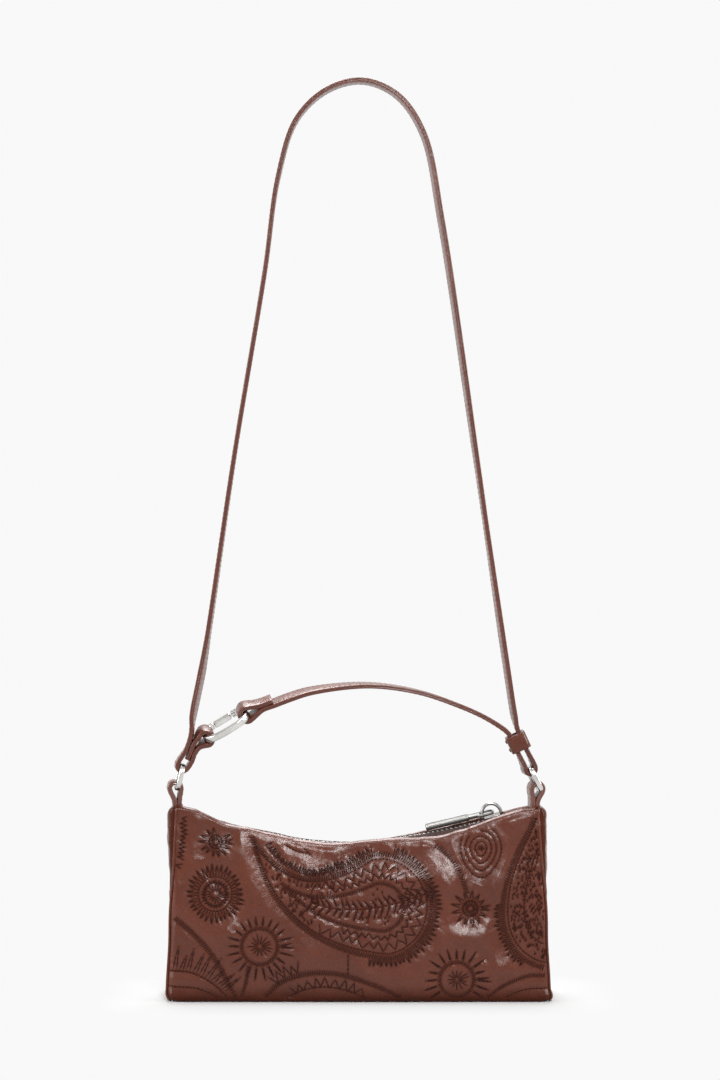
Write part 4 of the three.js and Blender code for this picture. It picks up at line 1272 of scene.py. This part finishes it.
def add_slider():
    """Two plates with turned sides, a post between them and a tall arch that holds the puller."""
    origin, axes = on_zip(SLIDER_PLACE)
    ahead, across, up = axes
    size = (SLIDER_LENGTH, SLIDER_WIDTH, SLIDER_PLATE)
    level = SLIDER_HALF_GAP + SLIDER_PLATE / 2
    low = level + SLIDER_SLACK
    parts = [block(size, 2.4, 0.35, origin + rise * up, axes, 6) for rise in (-low, level)]
    for side in (-1, 1):
        middle = origin + side * (SLIDER_WIDTH / 2 - 0.4) * across + (level - 0.6) * up
        parts.append(block(SLIDER_WALL, 0.5, 0.25, middle, (ahead, up, across)))
    middle = origin + POST_AHEAD * ahead - POST_FRONT * across + (level - low) / 2 * up
    post = block((POST_LENGTH, POST_WIDTH, level + low), 0.3, 0.1, middle, axes)
    turns = np.linspace(0, math.pi, 33)[:, None]
    spring = origin + (level + 0.1) * up
    path = spring + ARCH_REACH * np.cos(turns) * ahead + ARCH_RISE * np.sin(turns) ** 0.8 * up
    parts += [post, tube(path, ARCH_WIRE, sides=14, flatten=1.25)]
    settle(add_mesh("slider", *joined(parts), ZIP_SILVER), "slider", "zip_metal", "zip_slider")


def add_puller():
    """A flat bar in two steps that leans to the front, with an eye round the arch and a bare rimmed field."""
    origin, axes = on_zip(SLIDER_PLACE)
    pivot = origin + PIVOT_RISE * axes[2]
    level, ahead = leaning(-PULLER_SLOPE)
    across = math.cos(PULLER_LEAN) * np.array([0, 1.0, 0]) + math.sin(PULLER_LEAN) * level
    up = np.cross(ahead, across)
    axes = np.array([ahead, across, up])
    eye = rounded_rectangle(EYE_LENGTH, EYE_WIDTH, 2.2, 6)
    path = pivot - EYE_BACK * ahead + eye @ axes[:2]
    parts = [tube(path, EYE_WIRE, closed=True, up=up)]
    link = (PULLER_STEP - LINK_START + 1, LINK_WIDTH, LINK_THICKNESS)
    parts.append(block(link, 1.0, 0.4, pivot - (PULLER_STEP + LINK_START) / 2 * ahead, axes))
    length = PULLER_LENGTH - PULLER_STEP + 1
    middle = pivot - (PULLER_LENGTH - length / 2) * ahead
    parts.append(block((length, PULLER_WIDTH, PULLER_THICKNESS), 0.9, 0.45, middle, axes))
    rim = rounded_rectangle(length - 2 * RIM_MARGIN, RIM_WIDTH, 0.8, 4)
    for side in (-1, 1):
        ledge = middle + side * (PULLER_THICKNESS / 2 - 0.05) * up + rim @ axes[:2]
        parts.append(tube(ledge, RIM_WIRE, closed=True, sides=8, up=up))
    settle(add_mesh("puller", *joined(parts), PULLER_SILVER), "puller", "zip_metal", "zip_puller")


# Rings and tabs

RING_WIRE = 2.6
RING_HEIGHT = 15
RING_WIDTH = 17.5
RING_CORNER = 4.5
# Middle of each ring's lower bar in x and z, and the ring's lean
RING_FEET = {
    "left": (-119.2, 135.6, math.radians(13.4)),
    "right": (117.8, 135.0, math.radians(-25.9)),
}
STRAP_WIDTH = 12
STRAP_THICKNESS = 2.8
STRAP_CORNER = 0.6
STRAP_CROWN = 0.22
PLY_LINE = 0.6
PLY_LINE_DEPTH = 0.35
SEAM_MARGIN = 1.9
SEAM_PITCH = 3.4
SEAM_GIRTH = 0.2
TAB_PLY = 2.9
HANG_TURN = math.radians(8)
TAB_LEAN = {"left": -1.2, "right": -1.8}
TAB_FOOT = {"left": 0, "right": -3.4}


def ring_turn(name):
    """Middle of a ring's upper bar, in x and z."""
    x, z, lean = RING_FEET[name]
    return x + RING_HEIGHT * math.sin(lean), z + RING_HEIGHT * math.cos(lean)


def turned(line, x, angle):
    """A strip's path and directions, turned about an upright line through x; the angle may vary along it."""
    path, across, out = line
    c, s = np.cos(angle), np.sin(angle)
    place = np.array([x, 0, 0])
    spun = [
        points_at(v[:, 0] * c - v[:, 1] * s, v[:, 0] * s + v[:, 1] * c, v[:, 2])
        for v in (path - place, across, out)
    ]
    return spun[0] + place, spun[1], spun[2]


def add_ring(name):
    """An oval wire ring that leans in from the tab."""
    x, z, lean = RING_FEET[name]
    up, flat = leaning(lean)
    plane = np.array([up, [0, 1, 0]])
    outline = rounded_rectangle(RING_HEIGHT, RING_WIDTH, RING_CORNER, 10)
    path = np.array([x, 0, z]) + RING_HEIGHT / 2 * up + outline @ plane
    inward = left_of(ahead_round(outline)) @ plane
    line = turned((path, inward, np.broadcast_to(flat, path.shape)), x, HANG_TURN)
    bar = sweep(*line, rounded_rectangle(RING_WIRE + 0.2, RING_WIRE + 0.7, 0.9, 5), closed=True)
    settle(add_mesh(name + "_wire_ring", *bar, SILVER), "handle_group", "ring_metal", name + "_ring")


def strap_section(thickness):
    """Two plies with soft corners, a crowned face and the fine line where they meet at each edge."""
    w, t, corner = STRAP_WIDTH / 2, thickness / 2, STRAP_CORNER
    quarter = [(w, PLY_LINE / 2)]
    for angle in np.radians((0, 30, 60, 90)):
        quarter.append((w - corner + corner * math.cos(angle), t - corner + corner * math.sin(angle)))
    quarter += [(w * 0.55, t + 0.15)]
    right = [(w - PLY_LINE_DEPTH, 0)] + quarter + [(0, t + STRAP_CROWN)]
    left = [(-a, b) for a, b in quarter[::-1]] + [(-w + PLY_LINE_DEPTH, 0)]
    under = [(-a, -b) for a, b in quarter] + [(0, -t - STRAP_CROWN)] + [(a, -b) for a, b in quarter[::-1]]
    return np.array(right + left + under)


def strip_line(route, step=1.1):
    """A strip's path with its two directions, from knots of x, z and sideways tilt in degrees."""
    line = through([(*knot, 0)[:3] for knot in route], step)
    path = points_at(line[:, 0], 0, line[:, 1])
    ahead = unit(np.gradient(path, axis=0))
    tilt = np.radians(line[:, 2])
    up, _ = leaning(-CLIP_SLOPE)
    across = points_at(up[0] * np.sin(tilt), np.cos(tilt), up[2] * np.sin(tilt))
    return path, across, unit(np.cross(ahead, across))


def strip_stitches(path, across, out, thickness):
    """Rows of stitches along both edges of both faces."""
    parts = []
    for edge in (-1, 1):
        for face in (-1, 1):
            row = path + across * edge * (STRAP_WIDTH / 2 - SEAM_MARGIN) + out * face * (thickness / 2 - 0.06)
            lengths = run_lengths(row)
            places = np.arange(2, lengths[-1] - 2, SEAM_PITCH)[:, None] + np.linspace(-1.2, 1.2, 5)
            outwards = unit(between(places, lengths, face * out))
            parts.append(threads(between(places, lengths, row), outwards, SEAM_GIRTH))
    return joined(parts)


def add_tab(name):
    """A strip folded round the lower bar of a ring, with its ends together on the bag's corner."""
    x, z, _ = RING_FEET[name]
    sides = [(1.5, 119.5), (1.5, 126.4), (2.1, 129.6), (3.5, z - 1.6), (3.6, z + 1.2)]
    over = [(2.4, z + 3.3), (0, z + 3.8), (-2.4, z + 3.3)]
    foot, lean = TAB_FOOT[name], TAB_LEAN[name]
    ply = sides + over + [(-a, b) for a, b in sides[::-1]]
    route = [(x + a + foot + (lean - foot) * smooth_step(125, 136, b), b) for a, b in ply]
    line = turned(strip_line(route, 0.8), x, HANG_TURN)
    piece = add_mesh(name + "_tab_leather", *sweep(*line, strap_section(TAB_PLY)), STRAP_LEATHER)
    thread = add_mesh(name + "_tab_thread", *strip_stitches(*line, TAB_PLY), SEAM_THREAD)
    for part in (piece, thread):
        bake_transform(part)
    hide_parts(name + "_tab")


# Clip ring with its gate

CLIP_CENTRE = np.array([-87.3, 0, 177.2])
CLIP_SLOPE = math.radians(30.6)
CLIP_TILT = 20
CLIP_LENGTH = 31
CLIP_WIDTH = 18
CLIP_CORNER = 7.2
CLIP_BOW = 2.3
CLIP_BAR = 3
CLIP_HEIGHT = 4.4
CLIP_EAR = (4.4, CLIP_BAR, 1.2)
EAR_OUT = 1.6
GATE_PIVOT = 7.5
GATE_TIP = -7.4
GATE_LENGTH = GATE_PIVOT - 2.6 - GATE_TIP
PIN_RADIUS = 0.8
TONGUE = (6, 2.4, 1.5)


def clip_axes():
    """The clip ring's directions: along it, across it to the back, and out of its plane."""
    up, ahead = leaning(-CLIP_SLOPE)
    level, tilt = math.cos(math.radians(CLIP_TILT)), math.sin(math.radians(CLIP_TILT))
    back = np.array([0, 1, 0])
    return np.array([ahead, tilt * up + level * back, level * up - tilt * back])


def add_clip():
    """The bent bar of the clip ring with two ears, the pin through them and the gate with its tongue."""
    axes = clip_axes()

    def at(ahead, across, out=0.0):
        return CLIP_CENTRE + np.array([ahead, across, out]) @ axes

    corners = rounded_rectangle(CLIP_LENGTH, CLIP_WIDTH, CLIP_CORNER, 10)
    back = CLIP_WIDTH / 2
    start, end = (GATE_PIVOT + 0.7, back), (GATE_TIP - 0.5, back)
    flat = even(np.vstack([start, corners[:10][::-1], corners[10:][::-1], end]), 0.7)
    reach = np.cos(np.clip(flat[:, 0] / CLIP_LENGTH, -0.5, 0.5) * math.pi)
    flat[:, 1] -= CLIP_BOW * reach * (flat[:, 1] < 0)
    ahead = unit(np.gradient(flat, axis=0))
    inward = left_of(ahead) @ axes[:2]
    path = CLIP_CENTRE + flat @ axes[:2]
    section = rounded_rectangle(CLIP_BAR + 0.4, CLIP_HEIGHT, 0.9, 5)
    parts = [sweep(path, inward, np.broadcast_to(axes[2], path.shape), section)]
    for side in (-1, 1):
        parts.append(block(CLIP_EAR, 1.3, 0.3, at(GATE_PIVOT + 0.6, back, side * EAR_OUT), axes, 6))
    settle(add_mesh("clip", *joined(parts), SILVER), "handle_group", "ring_metal", "clip_ring")
    disc = circle(0, 0, PIN_RADIUS)[:-1][::-1]
    pin = plate(disc, CLIP_HEIGHT + 0.3, 0.25, at(GATE_PIVOT, back), axes)
    settle(add_mesh("pin", *pin, ZIP_SILVER), "handle_group", "ring_metal", "gate_pin")
    size = (GATE_LENGTH, CLIP_BAR, CLIP_HEIGHT)
    bar = block(size, 0.7, 0.7, at(GATE_TIP + GATE_LENGTH / 2, back), axes, 5)
    tongue = block(TONGUE, 1.1, 0.3, at(GATE_PIVOT - 1.6, back), axes, 6)
    settle(add_mesh("gate", *joined([bar, tongue]), SILVER), "gate", "ring_metal", "clip_gate")


# Strips: the strap with its left end round the clip ring, and the handle with its turn through the right ring

STRAP_TOP = (2.5, 598.5)
STRAP_LEFT = [
    (-53, 535), (-61.5, 475), (-81, 357), (-101.5, 219), (-108.6, 182.5), (-109.9, 170), (-112.8, 161.5),
]
STRAP_RIGHT = [(25, 589), (42, 564), (53.8, 507), (76, 357), (96, 219), (102.3, 179.3)]
STRAP_SHOULDER = [(-21, 592.5), (-41, 573)]
HANDLE_ARCH = [
    (96, 173), (82.6, 181.6, -3), (64.9, 189.5, -4), (38.7, 198.3, -1), (6, 202.8, 6), (-31, 199.2, 15),
]
# The strap's short ply from the left ring up to the clip ring, and its end between that ply and the strap
PLY_RISE = [(-109.6, 153.2), (-107.9, 157.5), (-105.2, 161.9, 6)]
PLY_END = [(-107.2, 166.5, 8), (-109.2, 161.5), (-111.3, 157.2), (-112.7, 154.2)]
# The handle's run to the clip ring, and its end folded back on top
HANDLE_RUN = [(-45.8, 194.8, 18), (-56, 190.9, 18), (-63.5, 188.1, 18)]
HANDLE_END = [(-69.4, 190.1, 17), (-64.4, 191.2, 18), (-57.2, 193.9, 18)]
# How far the long strap turns its inner face to the front: height, degrees
STRAP_TWIST = {
    "left": ((172, 4), (190, 11), (212, 11), (236, 3), (300, 0), (400, -4), (470, -4), (540, 0), (600, 0)),
    "right": ((180, 8), (240, 8), (310, 3), (400, 8), (530, 9), (580, 5), (600, 0)),
}
KEEPER_CENTRE = np.array([104.1, 0, 165.7])
KEEPER_LEAN = math.radians(-24.8)
KEEPER_LENGTH = 11.3
KEEPER_WALL = 2
KEEPER_RUN = 3
KEEPER_GAP = (0.3, 0.4)
KEEPER_CORNER = 2.4
STUD_RADIUS = 1.25
STUD_HEIGHT = 1.3
STUD_RISE = 3
# How far the middle of a strip lies from the middle of the bar that it goes round
FOLD_SLACK = 0.5
FOLD_TURN = math.hypot(CLIP_BAR, CLIP_HEIGHT) / 2 + FOLD_SLACK + STRAP_THICKNESS / 2
RING_SLACK = 0.75
RING_TURN = RING_WIRE / 2 + RING_SLACK + STRAP_THICKNESS / 2


def round_bar(middle, distance, angles, tilt=0.0):
    """Knots round a bar, by angle from the right."""
    x, z = middle
    turns = [math.radians(angle) for angle in angles]
    return [(x + distance * math.cos(turn), z + distance * math.sin(turn), tilt) for turn in turns]


def clip_end(way):
    """The lower (-1) or upper (1) end of the clip ring, in x and z."""
    x, _, z = CLIP_CENTRE + way * CLIP_LENGTH / 2 * clip_axes()[0]
    return x, z


def keeper_point(aside, rise):
    """A place in the keeper, in x and z."""
    axis, across = leaning(KEEPER_LEAN)
    x, _, z = KEEPER_CENTRE + aside * across + rise * axis
    return x, z


def strap_route():
    """From the keeper over the top to the left ring, up round the clip ring's lower end."""
    turn, low = ring_turn("left"), clip_end(-1)
    right = [keeper_point(KEEPER_RUN, 0), keeper_point(KEEPER_RUN, KEEPER_LENGTH / 2)] + STRAP_RIGHT[::-1]
    left = STRAP_SHOULDER + STRAP_LEFT + round_bar(turn, RING_TURN, (165, 215, 270, 325)) + PLY_RISE
    left += round_bar(low, FOLD_TURN, (-100, -55, -10, 35, 80, 125, 165), CLIP_TILT) + PLY_END
    return right + [STRAP_TOP] + left


def handle_route():
    """From the keeper round the right ring, back through the keeper and over to the clip ring's upper end."""
    turn, high = ring_turn("right"), clip_end(1)
    half = KEEPER_LENGTH / 2
    route = [keeper_point(KEEPER_RUN, 1), keeper_point(KEEPER_RUN, -half)]
    route += round_bar(turn, RING_TURN, (15, -35, -90, -145, 165))
    route += [keeper_point(-KEEPER_RUN, place) for place in (-half, 0, half)] + HANDLE_ARCH
    route += HANDLE_RUN
    return route + round_bar(high, FOLD_TURN, (-35, -75, -115, -155, 165, 125, 85), CLIP_TILT) + HANDLE_END


def twisted(line):
    """The strap turns its inner face a little to the front above the fittings."""
    path, across, out = line
    turn = np.zeros((len(path), 1))
    top = int(np.argmax(path[:, 2]))
    for side, part in (("right", np.s_[:top]), ("left", np.s_[top:])):
        heights, degrees = np.array(STRAP_TWIST[side], float).T
        turn[part, 0] = np.radians(np.interp(path[part, 2], heights, degrees))
    turn = turn * smooth_step(175, 183, path[:, 2:])
    return path, across * np.cos(turn) + out * np.sin(turn), out * np.cos(turn) - across * np.sin(turn)


def strip_pieces(name, line):
    """A strip of leather along a line, and its edge stitching."""
    section = strap_section(STRAP_THICKNESS)
    piece = add_mesh(name, *sweep(*line, section), STRAP_LEATHER)
    mark(piece, "painted_shade_and_edge_paint", np.tile((np.abs(section[:, 0]) > STRAP_WIDTH / 2 - 0.5) * 0.3, len(line[0])))
    thread = add_mesh(name + "_thread", *strip_stitches(*line, STRAP_THICKNESS), SEAM_THREAD)
    return piece, thread


def add_strips():
    """The strap, which folds over above the fittings, and the grab handle."""
    line = twisted(strip_line(strap_route()))
    loop = (line[0][:, 0] < 0) * (1 - smooth_step(152, 166, line[0][:, 2]))
    pieces = strip_pieces("shoulder_strap", turned(line, RING_FEET["left"][0], HANG_TURN * loop))
    for piece in pieces:
        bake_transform(piece)
    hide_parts("long_strap", "connector_loop")
    line = strip_line(handle_route())
    loop = 1 - smooth_step(149, 160, line[0][:, 2])
    piece, thread = strip_pieces("grab_handle", turned(line, RING_FEET["right"][0], HANG_TURN * loop))
    settle(piece, "handle_group", "leather", "handle")
    settle(thread, "handle_group", "leather")


def add_keeper():
    """A sleeve round both runs of the strip, with two studs on its left face."""
    axis, across = leaning(KEEPER_LEAN)
    half_x = KEEPER_RUN + STRAP_THICKNESS / 2 + KEEPER_GAP[0] + KEEPER_WALL / 2
    half_y = STRAP_WIDTH / 2 + KEEPER_GAP[1] + KEEPER_WALL / 2
    corners = rounded_rectangle(2 * half_x, 2 * half_y, KEEPER_CORNER, 8)
    outline = even(np.vstack([corners, [(half_x, half_y - KEEPER_CORNER)]]), 0.8)[:-1]
    plane = np.array([across, [0, 1, 0]])
    path = KEEPER_CENTRE + outline @ plane
    out = -left_of(ahead_round(outline)) @ plane
    section = rounded_rectangle(KEEPER_LENGTH, KEEPER_WALL, 0.6, 4)
    sleeve = sweep(path, np.broadcast_to(axis, path.shape), out, section, closed=True)
    settle(add_mesh("keeper_sleeve", *sleeve, BROWN_LEATHER), "handle_group", "leather", "keeper")
    face = KEEPER_CENTRE - (half_x + KEEPER_WALL / 2 + 0.2) * across
    disc = circle(0, 0, STUD_RADIUS)[:-1][::-1]
    for name, way in (("upper", 1), ("lower", -1)):
        dome = plate(disc, STUD_HEIGHT, 0.6, face + way * STUD_RISE * axis, (axis, [0, 1, 0], -across))
        stud = add_mesh(name + "_stud", *dome, STRAP_LEATHER)
        settle(stud, "handle_group", "dark_leather", "keeper_stud_" + name)


def add_body():
    """Everything that is sewn into the shell of the bag."""
    front = Panel(-1, front_design(), 11)
    back = Panel(1, back_design(), 47)
    front_rows = add_front(front)
    back_rows = add_back(back)
    add_embroidery(front, "front_embroidery")
    add_embroidery(back, "back_embroidery")
    for name, side in (("left", -1), ("right", 1)):
        add_side(name, side, front_rows, back_rows)
    add_base(front_rows, back_rows)
    add_linings(front, back)


def add_fittings():
    """Everything that hangs on the bag's corners."""
    for name in RING_FEET:
        add_ring(name)
        add_tab(name)
    add_clip()
    add_strips()
    add_keeper()


add_camera()
add_stage()
add_lights()
add_body()
add_zip()
add_slider()
add_puller()
add_fittings()
